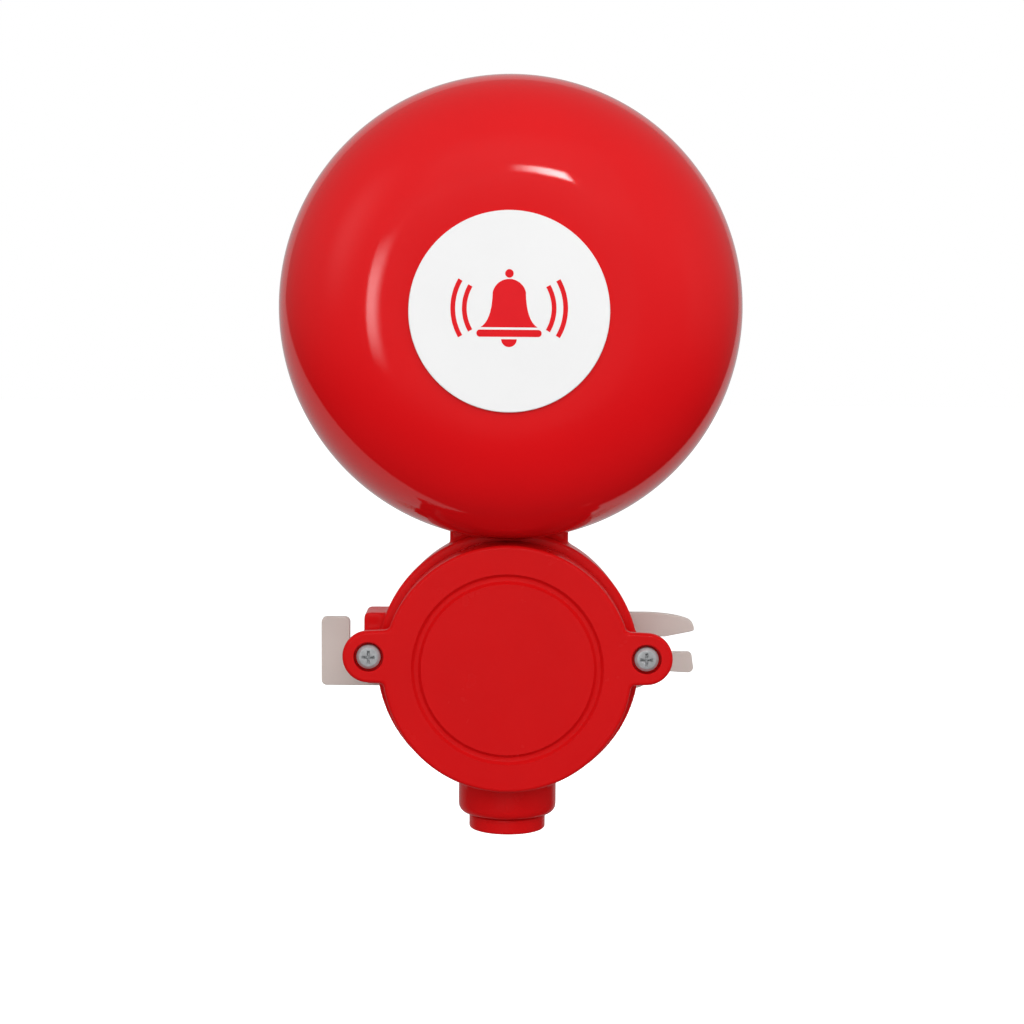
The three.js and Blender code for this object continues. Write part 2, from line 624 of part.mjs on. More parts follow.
/** The pieces that slide up together to hit the gong, at rest. */
function buildStriker(collarTop) {
  const group = new THREE.Group();
  group.position.y = STRIKER_Y;
  const plungerTop = 0.8 - STRIKER_TRAVEL - 1;
  const rodFoot = plungerTop - 8;
  const tipFoot = STRIKER_REST_TOP - 8;
  const hollow = ROD_RADIUS + HOLE_PLAY;
  add(group, 'plunger', closed(turnedZ([
    [0, -25], [3, -25], [BORE_RADIUS - HOLE_PLAY, -24], [BORE_RADIUS - HOLE_PLAY, plungerTop],
    [hollow, plungerTop], [hollow, rodFoot - GAP], [0, rodFoot - GAP],
  ], FINE)), 'iron');
  add(group, 'striker_rod', closed(barZ(ROD_RADIUS, rodFoot, tipFoot + 4, { facets: SMALL })), 'zinc');
  add(group, 'spring_collar', closed(ringZ(hollow, 4.2, collarTop - 1.4, collarTop, SMALL)), 'zinc');
  add(group, 'striker_tip', closed(turnedZ([
    [hollow, tipFoot], [3.5, tipFoot], [3.5, STRIKER_REST_TOP - 1.4], [2.4, STRIKER_REST_TOP - 0.4],
    [0, STRIKER_REST_TOP], [0, tipFoot + 4 + GAP], [hollow, tipFoot + 4 + GAP], [hollow, tipFoot],
  ], FINE)), 'nylon');
  return group;
}

// ---------------------------------------------------------------- suppressor board and leads

function buildElectrics() {
  const group = new THREE.Group();
  const back = BOARD_BACK_Y;
  const front = back - BOARD_THICKNESS;
  const board = cut(
    solid(plate(roundedRectangle(-23, -9, 23, 9, 1.5), front, back, 2)),
    SIDES.map(([, side]) => solid(barY(
      BOARD_SCREW.shank + HOLE_PLAY, front - 1, back + 1, { x: side * BOARD_POST_X, facets: SMALL },
    ))),
  );
  add(group, 'suppressor_board', geometryOf(board), 'board');
  for (const [name, side] of SIDES) {
    const place = [side * BOARD_POST_X, back + GAP, 0];
    add(group, `board_screw_${name}`, closed(panScrew(BOARD_SCREW)), 'zinc', place, Math.PI);
  }
  const capacitor = plate(roundedRectangle(-12, 1, 4, 8, 1), back + GAP, back + 6.6, 2);
  add(group, 'capacitor', closed(capacitor), 'nylon');

  const half = 6;
  const lead = 0.5;
  const bodyHalf = 2.6;
  const bead = 1.4;
  const diode = turned([
    [0, -half], [lead, -half], [lead, -bodyHalf], [bead, -bodyHalf], [bead, bodyHalf],
    [lead, bodyHalf], [lead, half], [0, half],
  ], 10).rotateZ(Math.PI / 2);
  add(group, 'diode', closed(diode), 'black', [11, back + GAP + bead, -4]);

  const colours = { left: 'leadRed', right: 'leadBlack' };
  const leadRadius = 0.9;
  const boxWall = BOX_Z + BOX_BORE;
  for (const [name, side] of SIDES) {
    const x = side * 4;
    add(group, `line_lead_${name}`, closed(wire([
      [x, back + GAP + leadRadius, -3], [x, back + GAP + leadRadius, -14], [x, -13, -28], [x, -14, -50],
      [x, -14, boxWall], [x * 1.4, -14, boxWall - 12], [side * 8, -13.2, BOX_Z + 7 + GAP],
    ], leadRadius, 20)), colours[name]);
    add(group, `coil_lead_${name}`, closed(wire([
      [side * 3, STRIKER_Y + COIL_RADIUS + GAP, 5], [side * 5, -20, 4], [side * 5.5, front - GAP, 2],
    ], 0.5, 8)), 'leadRed');
  }
  return group;
}

// ---------------------------------------------------------------- junction box contents and cover

function buildJunctionBox() {
  const group = new THREE.Group();
  group.position.z = BOX_Z;
  const blockBack = BOX_FLOOR_Y - GAP;
  const blockFront = -19;
  const ways = [-8, 0, 8];
  const body = cut(
    solid(block([-18.5, blockFront, -7], [18.5, blockBack, 7])),
    [
      ...ways.map((x) => solid(barY(2.5, blockFront - 1, -14, { x, facets: SMALL }))),
      ...ways.map((x) => solid(barZ(1.7, -8, 8, { x, y: -13.2, facets: 10 }))),
      ...SIDES.map(([, side]) => solid(barY(
        BLOCK_SCREW.shank + HOLE_PLAY, blockFront - 1, BOX_FLOOR_Y,
        { x: side * TERMINAL_SCREW_X, facets: SMALL },
      ))),
    ],
  );
  add(group, 'terminal_block', geometryOf(body), 'black');
  ways.forEach((x, i) => {
    const slotted = cut(solid(barY(2.15, -18.6, -15.2, { x, facets: SMALL })), [
      solid(block([x - 3, -20, -0.4], [x + 3, -17.6, 0.4])),
    ]);
    add(group, `terminal_screw_${i + 1}`, geometryOf(slotted), 'brass');
  });
  for (const [name, side] of SIDES) {
    const place = [side * TERMINAL_SCREW_X, blockFront - GAP, 0];
    add(group, `block_screw_${name}`, closed(panScrew(BLOCK_SCREW)), 'zinc', place);
  }
  const washer = 0.8;
  const earthZ = EARTH_Z - BOX_Z;
  const washerBack = BOSS_END_Y - GAP;
  const seat = washerBack - washer - GAP;
  add(group, 'earth_screw', closed(panScrew(EARTH_SCREW)), 'brass', [EARTH_X, seat, earthZ]);
  const washerRing = ringY(EARTH_SCREW.shank + HOLE_PLAY, 4, -washer, 0, SMALL);
  add(group, 'earth_washer', closed(washerRing), 'brass', [EARTH_X, washerBack, earthZ]);
  const gasket = ringY(GASKET_INNER, GASKET_OUTER, COVER_BACK_Y + GAP, BOX_RIM_Y + 0.8, ROUND);
  add(group, 'cover_gasket', closed(gasket), 'rubber');
  return group;
}

function buildCover() {
  const group = new THREE.Group();
  group.position.z = BOX_Z;
  const front = COVER_FRONT_Y;
  const middle = (GROOVE_INNER + GROOVE_OUTER) / 2;
  const shell = solid(turned([
    [0, front], [COVER_RADIUS - COVER_EDGE, front], [COVER_RADIUS, front + COVER_EDGE],
    [COVER_RADIUS, COVER_BACK_Y], [0, COVER_BACK_Y],
  ], ROUND));
  const ears = solid(plate(earOutline(EAR_RADIUS), front, COVER_EAR_BACK_Y));
  const bosses = solid(plate(earOutline(EAR_BOSS_RADIUS), COVER_EAR_BACK_Y - 1, COVER_BACK_Y));
  const groove = solid(turned([
    [GROOVE_INNER, front - 1], [GROOVE_INNER, front], [middle - 0.6, front + GROOVE_DEPTH],
    [middle + 0.6, front + GROOVE_DEPTH], [GROOVE_OUTER, front], [GROOVE_OUTER, front - 1],
    [GROOVE_INNER, front - 1],
  ], ROUND));
  const hollow = solid(barY(
    COVER_RADIUS - COVER_WALL, front + COVER_WALL, COVER_BACK_Y + 1, { facets: ROUND },
  ));
  const counterbore = 3.2;
  const holes = SIDES.flatMap(([, side]) => [
    barY(4.9, front - 1, front + counterbore, { x: side * EAR_X, z: EAR_RISE }),
    barY(COVER_SCREW.shank + HOLE_PLAY, front, COVER_BACK_Y + 1, {
      x: side * EAR_X, z: EAR_RISE, facets: SMALL,
    }),
  ]).map(solid);
  const blank = join(shell, [ears, bosses]);
  add(group, 'junction_cover', geometryOf(cut(blank, [hollow, groove, ...holes])), 'redSatin');
  for (const [name, side] of SIDES) {
    const place = [side * EAR_X, front + counterbore - GAP, EAR_RISE];
    add(group, `cover_screw_${name}`, closed(panScrew(COVER_SCREW)), 'zinc', place);
  }
  return group;
}

// ---------------------------------------------------------------- cable gland

function buildGland() {
  const group = new THREE.Group();
  group.position.y = HUB_Y;
  const sealTop = BOX_Z - BOX_BORE - 2.3 - GAP;
  const sealEnd = sealTop - 5.6;
  const washerEnd = sealEnd - GAP - 0.8;
  const spigotTop = washerEnd - GAP;
  const collar = HUB_END_Z - GAP;
  const bore = CABLE_HOLE + 1.5;
  const spigot = HUB_BORE - HOLE_PLAY;
  add(group, 'gland_seal', closed(ringZ(CABLE_HOLE, spigot - 0.2, sealEnd, sealTop, FINE)), 'rubber');
  add(group, 'gland_washer', closed(ringZ(bore, spigot - 0.2, washerEnd, sealEnd - GAP, FINE)), 'zinc');
  add(group, 'gland_nut', closed(turnedZ([
    [bore, GLAND_END_Z], [GLAND_RADIUS - 2, GLAND_END_Z], [GLAND_RADIUS - 0.6, GLAND_END_Z + 0.6],
    [GLAND_RADIUS, GLAND_END_Z + 2], [GLAND_RADIUS, collar], [spigot, collar], [spigot, spigotTop],
    [bore, spigotTop], [bore, GLAND_END_Z],
  ], FINE * 1.5)), 'redSatin');
  return group;
}

// ---------------------------------------------------------------- assembly

const bell = new THREE.Group();
const solenoid = buildSolenoid();
bell.add(
  buildHousing(),
  buildRear(),
  buildBracket(),
  solenoid.group,
  buildStriker(solenoid.collarTop),
  buildElectrics(),
  buildGong(),
  buildJunctionBox(),
  buildCover(),
  buildGland(),
);

export default bell;
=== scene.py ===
"""Fire alarm bell: fine surfaces, finishes and studio, built around the fixed frame.

A form is drawn in millimetres and becomes a mesh in metres. +Z is up, the wall is the plane Y = 0
and the bell faces -Y. The gong's axis meets the wall at the origin.
"""
import json
import logging
import math
from collections.abc import Sequence
from dataclasses import dataclass
from enum import Enum

import bmesh
import bpy
from mathutils import Matrix, Vector


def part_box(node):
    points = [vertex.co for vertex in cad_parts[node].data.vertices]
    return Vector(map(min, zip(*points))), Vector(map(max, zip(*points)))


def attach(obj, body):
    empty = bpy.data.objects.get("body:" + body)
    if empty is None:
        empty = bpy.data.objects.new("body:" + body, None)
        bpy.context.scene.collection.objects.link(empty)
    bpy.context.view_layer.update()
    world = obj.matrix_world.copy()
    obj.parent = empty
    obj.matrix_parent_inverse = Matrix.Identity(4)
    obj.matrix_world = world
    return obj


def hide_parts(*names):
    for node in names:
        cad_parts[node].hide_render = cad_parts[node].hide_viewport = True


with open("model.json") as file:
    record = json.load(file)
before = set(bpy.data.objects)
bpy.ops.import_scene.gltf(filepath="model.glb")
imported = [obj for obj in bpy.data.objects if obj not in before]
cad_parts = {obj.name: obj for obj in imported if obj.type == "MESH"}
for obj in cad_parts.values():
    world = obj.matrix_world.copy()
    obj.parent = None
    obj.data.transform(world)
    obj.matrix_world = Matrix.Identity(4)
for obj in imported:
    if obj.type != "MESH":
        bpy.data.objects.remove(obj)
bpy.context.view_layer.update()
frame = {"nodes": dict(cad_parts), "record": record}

LOG = logging.getLogger("fire_alarm_bell")
MM = 0.001
GAP = 0.3

Point = tuple[float, float, float]
Flat = tuple[float, float]
Colour = tuple[float, float, float]

HOLE_PLAY = 0.35
EARTH_PLACE: Flat = (21.0, -19.0)
BOX_FLOOR = -7.0
BOX_BORE = 37.5
HUB_DEPTH = -18.0
STRIKER_DEPTH = -35.0
BRACKET_SCREW_ACROSS = 27.0
GASKET_RADII: Flat = (38.7, 39.9)
SIDES: tuple[tuple[str, int], ...] = (("left", -1), ("right", 1))


def middle_height(node: str) -> float:
    """Height of the middle of a node's box in the frame, in millimetres."""
    low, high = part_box(node)
    return round((low[2] + high[2]) / 2 / MM, 3)


BOX_HEIGHT = middle_height("terminal_block")


class Axis(Enum):
    """The axis that a turned form is turned about."""

    DEPTH = "y"
    HEIGHT = "z"


class Drive(Enum):
    """The recess in a screw's head."""

    SLOT = "slot"
    CROSS = "cross"


class Carve(Enum):
    """What a tool does to a body."""

    CUT = "DIFFERENCE"
    JOIN = "UNION"


# ------------------------------------------------------------------ forms


def arc(centre: Flat, radius: float, start: float, end: float, steps: int = 12) -> list[Flat]:
    """Points along an arc.

    Args:
        centre: Centre of the arc.
        radius: Radius of the arc.
        start: First angle in degrees.
        end: Last angle in degrees.
        steps: Number of chords.

    Returns:
        The points, both ends included.
    """
    turns = [math.radians(start + (end - start) * i / steps) for i in range(steps + 1)]
    return [(centre[0] + radius * math.cos(a), centre[1] + radius * math.sin(a)) for a in turns]


def bend(start: Flat, pull: Flat, end: Flat, steps: int = 8) -> list[Flat]:
    """Points along a quadratic curve.

    Args:
        start: First point.
        pull: Point that the curve is pulled towards.
        end: Last point.
        steps: Number of chords.

    Returns:
        The points, both ends included.
    """
    points = []
    for i in range(steps + 1):
        t = i / steps
        a, b, c = (1 - t) ** 2, 2 * t * (1 - t), t * t
        points.append(tuple(a * p + b * q + c * r for p, q, r in zip(start, pull, end)))
    return points


def eased(profile: Sequence[Flat], radius: float, steps: int = 4) -> list[Flat]:
    """Round the corners of a profile, except its two ends.

    Args:
        profile: The corners in order.
        radius: Length of each side that the rounding takes up, at most.
        steps: Chords in each rounded corner.

    Returns:
        The rounded profile.
    """
    loop = profile[0] == profile[-1]
    corners = list(profile[:-1]) if loop else list(profile)
    count = len(corners)
    points: list[Flat] = []
    for i, corner in enumerate(corners):
        if not loop and i in (0, count - 1):
            points.append(corner)
            continue
        here = Vector(corner)
        before = Vector(corners[i - 1]) - here
        after = Vector(corners[(i + 1) % count]) - here
        reach = min(radius, before.length * 0.45, after.length * 0.45)
        enter = here + before.normalized() * reach
        leave = here + after.normalized() * reach
        points.extend(bend(tuple(enter), corner, tuple(leave), steps))
    return [*points, points[0]] if loop else points


def rounded_rectangle(low: Flat, high: Flat, radius: float) -> list[Flat]:
    """Outline of a rectangle with round corners.

    Args:
        low: Its lowest corner.
        high: Its highest corner.
        radius: Corner radius.

    Returns:
        The outline, anticlockwise.
    """
    (x0, z0), (x1, z1) = low, high
    return [
        *arc((x1 - radius, z0 + radius), radius, -90, 0, 6),
        *arc((x1 - radius, z1 - radius), radius, 0, 90, 6),
        *arc((x0 + radius, z1 - radius), radius, 90, 180, 6),
        *arc((x0 + radius, z0 + radius), radius, 180, 270, 6),
    ]


class Form:
    """A shape in millimetres: points, and faces that may have many corners."""

    def __init__(self, points: Sequence[Sequence[float]], faces: Sequence[Sequence[int]]) -> None:
        """Keep copies of the points and the faces."""
        self.points = [Vector(point) for point in points]
        self.faces = [tuple(face) for face in faces]
        self.inks = [0] * len(self.faces)

    @classmethod
    def turned(cls, profile: Sequence[Flat], axis: Axis = Axis.DEPTH, facets: int = 64) -> "Form":
        """Turn a profile about an axis.

        Args:
            profile: Pairs of radius and place along the axis, from axis to axis or a closed loop.
            axis: The axis of the turning.
            facets: Facets all round.

        Returns:
            The turned form.
        """
        loop = profile[0] == profile[-1]
        rows = list(profile[:-1]) if loop else list(profile)
        points: list[Point] = []
        rings: list[list[int]] = []
        for radius, along in rows:
            count = facets if radius > 1e-6 else 1
            rings.append([len(points) + i for i in range(count)])
            for i in range(count):
                angle = math.tau * i / facets
                across, up = radius * math.cos(angle), radius * math.sin(angle)
                points.append((across, along, up) if axis is Axis.DEPTH else (across, up, along))
        faces = []
        pairs = list(zip(rings, rings[1:]))
        if loop:
            pairs.append((rings[-1], rings[0]))
        for first, second in pairs:
            for i in range(facets):
                j = (i + 1) % facets
                corners = [first[i % len(first)], first[j % len(first)],
                           second[j % len(second)], second[i % len(second)]]
                face = list(dict.fromkeys(corners))
                if len(face) > 2:
                    faces.append(face)
        return cls(points, faces)

    @classmethod
    def ring(cls, inner: float, outer: float, start: float, end: float, axis: Axis = Axis.DEPTH,
             ease: float = 0.2, facets: int = 64) -> "Form":
        """Ring with rounded edges between two places along an axis."""
        profile = [(inner, start), (outer, start), (outer, end), (inner, end), (inner, start)]
        return cls.turned(eased(profile, ease), axis, facets)

    @classmethod
    def bar(cls, radius: float, start: float, end: float, axis: Axis = Axis.DEPTH,
            facets: int = 64) -> "Form":
        """Plain round bar between two places along an axis."""
        return cls.turned([(0, start), (radius, start), (radius, end), (0, end)], axis, facets)

    @classmethod
    def stack(cls, layers: Sequence[tuple[float, Sequence[Flat]]]) -> "Form":
        """Body skinned over outlines at several depths.

        Args:
            layers: Depth and outline of each layer, front first, all with the same number of corners.

        Returns:
            The body.
        """
        count = len(layers[0][1])
        points = [(x, depth, z) for depth, outline in layers for x, z in outline]
        last = count * (len(layers) - 1)
        faces = [tuple(range(count)), tuple(reversed(range(last, last + count)))]
        for start in range(0, last, count):
            for i in range(count):
                after = start + (i + 1) % count
                faces.append((start + i, start + i + count, after + count, after))
        return cls(points, faces)

    @classmethod
    def plate(cls, outline: Sequence[Flat], front: float, back: float, shrink: float = 1) -> "Form":
        """Plate whose outline lies across and up.

        Args:
            outline: Corners across and up.
            front: Depth of the front face.
            back: Depth of the back face.
            shrink: Size of the back face as a share of the front's.

        Returns:
            The plate.
        """
        return cls.stack([(front, outline), (back, [(x * shrink, z * shrink) for x, z in outline])])

    @classmethod
    def block(cls, low: Point, high: Point) -> "Form":
        """Box between its lowest and highest corners."""
        outline = [(low[0], low[2]), (high[0], low[2]), (high[0], high[2]), (low[0], high[2])]
        return cls.plate(outline, low[1], high[1])

    @classmethod
    def tube(cls, path: Sequence[Point], radius: float, sides: int = 16) -> "Form":
        """Round tube along a path, closed at both ends.

        Args:
            path: Points along its middle.
            radius: Radius of the tube.
            sides: Sides round the tube.

        Returns:
            The tube.
        """
        middles = [Vector(point) for point in path]
        count = len(middles)
        heading = (middles[1] - middles[0]).normalized()
        side = heading.orthogonal().normalized()
        points = []
        for i, middle in enumerate(middles):
            ahead = (middles[min(i + 1, count - 1)] - middles[max(i - 1, 0)]).normalized()
            side = (side - ahead * side.dot(ahead)).normalized()
            across = ahead.cross(side)
            for k in range(sides):
                angle = math.tau * k / sides
                points.append(middle + radius * (side * math.cos(angle) + across * math.sin(angle)))
        faces = [tuple(range(sides)), tuple(reversed(range((count - 1) * sides, count * sides)))]
        for i in range(count - 1):
            for k in range(sides):
                n = (k + 1) % sides
                low, high = i * sides, (i + 1) * sides
                faces.append((low + k, low + n, high + n, high + k))
        return cls(points, faces)

    @classmethod
    def together(cls, forms: Sequence["Form"]) -> "Form":
        """Put several forms in one, without joining their surfaces."""
        whole = cls([], [])
        for form in forms:
            start = len(whole.points)
            whole.points += form.points
            whole.faces += [tuple(start + corner for corner in face) for face in form.faces]
            whole.inks += form.inks
        return whole

    def moved(self, x: float = 0, y: float = 0, z: float = 0) -> "Form":
        """The same form, moved."""
        step = Vector((x, y, z))
        form = Form([point + step for point in self.points], self.faces)
        form.inks = list(self.inks)
        return form

    def turned_round(self) -> "Form":
        """The same form, turned half way round the Z axis."""
        return Form([(-p.x, -p.y, p.z) for p in self.points], self.faces)

    def inked(self, ink: int) -> "Form":
        """The same form with every face in the finish of that number."""
        form = self.moved()
        form.inks = [ink] * len(form.faces)
        return form

    def thing(self, name: str) -> bpy.types.Object:
        """Make a Blender object of the form, in metres, with its faces pointing out."""
        mesh = bpy.data.meshes.new(name)
        mesh.from_pydata([point * MM for point in self.points], [], self.faces)
        mesh.polygons.foreach_set("material_index", self.inks)
        work = bmesh.new()
        work.from_mesh(mesh)
        bmesh.ops.recalc_face_normals(work, faces=work.faces)
        work.to_mesh(mesh)
        work.free()
        body = bpy.data.objects.new(name, mesh)
        bpy.context.scene.collection.objects.link(body)
        return body


def settle(body: bpy.types.Object) -> None:
    """Apply every modifier of an object to its mesh."""
    graph = bpy.context.evaluated_depsgraph_get()
    made = bpy.data.meshes.new_from_object(body.evaluated_get(graph), depsgraph=graph)
    old = body.data
    body.modifiers.clear()
    body.data = made
    made.name = body.name
    bpy.data.meshes.remove(old)


def carve(body: bpy.types.Object, tools: Sequence[Form], how: Carve = Carve.CUT) -> None:
    """Cut tools from a body, or join them to it.

    Args:
        body: The object that is worked on.
        tools: The tools, which may meet each other.
        how: Whether the tools cut or join.
    """
    helpers = []
    for i, tool in enumerate(tools):
        helper = tool.thing(f"{body.name}_tool_{i}")
        helpers.append(helper)
        step = body.modifiers.new("carve", "BOOLEAN")
        step.operation = how.value
        step.solver = "MANIFOLD"
        step.object = helper
    settle(body)
    for helper in helpers:
        data = helper.data
        bpy.data.objects.remove(helper)
        bpy.data.meshes.remove(data)


def cast(name: str, forms: Sequence[Form], grain: float, softening: int) -> bpy.types.Object:
    """Melt forms into one cast body with soft inside and outside corners.

    Args:
        name: Name of the body.
        forms: Closed forms that run into each other.
        grain: Size of the finest detail, in millimetres.
        softening: Rounds of smoothing, which set the size of the fillets.

    Returns:
        The cast body.
    """
    body = Form.together(forms).thing(name)
    melt = body.modifiers.new("melt", "REMESH")
    melt.mode = "VOXEL"
    melt.voxel_size = grain * MM
    smooth = body.modifiers.new("soften", "SMOOTH")
    smooth.factor = 0.5
    smooth.iterations = softening
    settle(body)
    return body


def soften_edges(body: bpy.types.Object, width: float, segments: int = 3) -> None:
    """Round the sharp edges of a body."""
    bevel = body.modifiers.new("edges", "BEVEL")
    bevel.width = width * MM
    bevel.segments = segments
    bevel.limit_method = "ANGLE"
    bevel.angle_limit = math.radians(32)
    bevel.use_clamp_overlap = True
    settle(body)


# ------------------------------------------------------------------ finishes


class Shader:
    """Adds and links the nodes of one material."""

    def __init__(self, name: str) -> None:
        """Start an empty material with its output and its surface shader."""
        self.material = bpy.data.materials.new(name)
        self.material.use_nodes = True
        self.tree = self.material.node_tree
        self.tree.nodes.clear()
        output = self.tree.nodes.new("ShaderNodeOutputMaterial")
        self.surface = self.tree.nodes.new("ShaderNodeBsdfPrincipled")
        self.link(self.surface.outputs["BSDF"], output.inputs["Surface"])
        self.place = self.tree.nodes.new("ShaderNodeTexCoord").outputs["Object"]

    def link(self, source: bpy.types.NodeSocket, target: bpy.types.NodeSocket) -> None:
        """Link two sockets."""
        self.tree.links.new(source, target)

    def stretched(self, stretch: Point) -> bpy.types.NodeSocket:
        """The place on the object, with each axis scaled."""
        mapping = self.tree.nodes.new("ShaderNodeMapping")
        mapping.inputs["Scale"].default_value = stretch
        self.link(self.place, mapping.inputs["Vector"])
        return mapping.outputs["Vector"]

    def noise(self, size: float, detail: float = 3, stretch: Point = (1, 1, 1)) -> bpy.types.NodeSocket:
        """Cloudy pattern whose patches are about `size` millimetres across."""
        node = self.tree.nodes.new("ShaderNodeTexNoise")
        node.inputs["Scale"].default_value = 1 / (size * MM)
        node.inputs["Detail"].default_value = detail
        self.link(self.stretched(stretch), node.inputs["Vector"])
        return node.outputs["Fac"]

    def cells(self, size: float, edges: bool = False) -> bpy.types.NodeSocket:
        """Pattern of cells, or of the distance to their edges."""
        node = self.tree.nodes.new("ShaderNodeTexVoronoi")
        node.feature = "DISTANCE_TO_EDGE" if edges else "F1"
        node.inputs["Scale"].default_value = 1 / (size * MM)
        self.link(self.place, node.inputs["Vector"])
        return node.outputs["Distance"]

    def bands(self, size: float, axis: str) -> bpy.types.NodeSocket:
        """Even bands across one axis, `size` millimetres apart."""
        node = self.tree.nodes.new("ShaderNodeTexWave")
        node.wave_type = "BANDS"
        node.bands_direction = axis
        node.inputs["Scale"].default_value = math.tau / (20 * size * MM)
        self.link(self.place, node.inputs["Vector"])
        return node.outputs["Fac"]

    def spread(self, source: bpy.types.NodeSocket, low: float, high: float) -> bpy.types.NodeSocket:
        """Map the middle of a pattern onto a range of numbers."""
        node = self.tree.nodes.new("ShaderNodeMapRange")
        node.inputs["From Min"].default_value = 0.3
        node.inputs["From Max"].default_value = 0.7
        node.inputs["To Min"].default_value = low
        node.inputs["To Max"].default_value = high
        self.link(source, node.inputs["Value"])
        return node.outputs["Result"]

    def between(self, source: bpy.types.NodeSocket, low: Colour, high: Colour,
                edges: Flat = (0.3, 0.7)) -> bpy.types.NodeSocket:
        """Map the middle of a pattern onto a range of colours."""
        node = self.tree.nodes.new("ShaderNodeValToRGB")
        first, last = node.color_ramp.elements
        first.position, last.position = edges
        first.color, last.color = (*low, 1), (*high, 1)
        self.link(source, node.inputs["Fac"])
        return node.outputs["Color"]

    def relief(self, source: bpy.types.NodeSocket, height: float, strength: float = 1) -> None:
        """Raise a pattern from the surface by a height in millimetres, on top of earlier relief."""
        bump = self.tree.nodes.new("ShaderNodeBump")
        bump.inputs["Distance"].default_value = height * MM
        bump.inputs["Strength"].default_value = strength
        self.link(source, bump.inputs["Height"])
        normal = self.surface.inputs["Normal"]
        if normal.is_linked:
            self.link(normal.links[0].from_socket, bump.inputs["Normal"])
        self.link(bump.outputs["Normal"], normal)


@dataclass(frozen=True)
class Finish:
    """A finish with a colour and a gloss that both wander a little."""

    name: str
    colour: Colour
    roughness: float
    tint: float = 0.06
    patch: float = 14.0
    gloss_range: float = 0.03
    metallic: float = 0.0
    specular: float = 0.5

    def material(self) -> bpy.types.Material:
        """Build the material once, and hand the same one out afterwards."""
        known = bpy.data.materials.get(self.name)
        if known:
            return known
        shader = Shader(self.name)
        surface = shader.surface
        surface.inputs["Metallic"].default_value = self.metallic
        surface.inputs["Specular IOR Level"].default_value = self.specular
        self.dress(shader)
        return shader.material

    def dress(self, shader: Shader) -> None:
        """Link the colour, the gloss and the relief."""
        surface = shader.surface
        low, high = self.shades()
        shader.link(shader.between(shader.noise(self.patch), low, high), surface.inputs["Base Color"])
        rough = self.roughness
        gloss = shader.noise(self.patch * 0.4, 4)
        shader.link(shader.spread(gloss, rough - self.gloss_range, rough + self.gloss_range),
                    surface.inputs["Roughness"])
        self.texture(shader)

    def shades(self) -> tuple[Colour, Colour]:
        """The darkest and the lightest shade of the colour."""
        low = tuple(part * (1 - self.tint) for part in self.colour)
        high = tuple(min(1.0, part * (1 + self.tint)) for part in self.colour)
        return low, high

    def texture(self, shader: Shader) -> None:
        """Fine unevenness that every real surface has."""
        shader.relief(shader.noise(0.5, 2), 0.004)


@dataclass(frozen=True)
class Enamel(Finish):
    """Wet paint on pressed steel: a deep gloss with a faint orange peel."""

    peel: float = 2.4
    peel_height: float = 0.006

    def texture(self, shader: Shader) -> None:
        """Orange peel, with a few specks of dust under the paint."""
        shader.relief(shader.noise(self.peel, 1), self.peel_height)
        shader.relief(shader.noise(0.25, 2), 0.0008)


@dataclass(frozen=True)
class PowderCoat(Finish):
    """Powder coat on die-cast metal: satin, with a close pebbled texture."""

    pebble: float = 0.7
    pebble_height: float = 0.003
    wave: float = 9.0
    wave_height: float = 0.012

    def texture(self, shader: Shader) -> None:
        """Pebbles, over the slow waves of the casting below."""
        shader.relief(shader.noise(self.wave, 1), self.wave_height)
        shader.relief(shader.cells(self.pebble), self.pebble_height)


@dataclass(frozen=True)
class Plating(Finish):
    """Bright plating over steel, with the drawn-out marks of the tool."""

    stretch: Point = (1, 1, 1)
    mark: float = 0.35
    mark_height: float = 0.004
    metallic: float = 1.0

    def texture(self, shader: Shader) -> None:
        """Tool marks."""
        shader.relief(shader.noise(self.mark, 3, self.stretch), self.mark_height)


@dataclass(frozen=True)
class Winding(Finish):
    """Enamelled wire wound in layers, one turn beside the next."""

    wire: float = 0.35
    metallic: float = 0.9

    def texture(self, shader: Shader) -> None:
        """One ridge for each turn of wire."""
        shader.relief(shader.bands(self.wire, "Z"), 0.12)


@dataclass(frozen=True)
class Rubber(Finish):
    """Moulded rubber with a dull bloom."""

    def texture(self, shader: Shader) -> None:
        """A dry, closely grained skin."""
        shader.relief(shader.noise(0.3, 4), 0.02)


@dataclass(frozen=True)
class BoardLacquer(Finish):
    """Green lacquer over copper tracks."""

    track: float = 5.0
    copper: Colour = (0.05, 0.26, 0.09)

    def dress(self, shader: Shader) -> None:
        """Tracks show as lighter, raised paths between the dark ones."""
        paths = shader.cells(self.track, edges=True)
        colour = shader.between(paths, self.colour, self.copper, (0.08, 0.1))
        shader.link(colour, shader.surface.inputs["Base Color"])
        shader.surface.inputs["Roughness"].default_value = self.roughness
        shader.relief(paths, 0.02, 0.5)


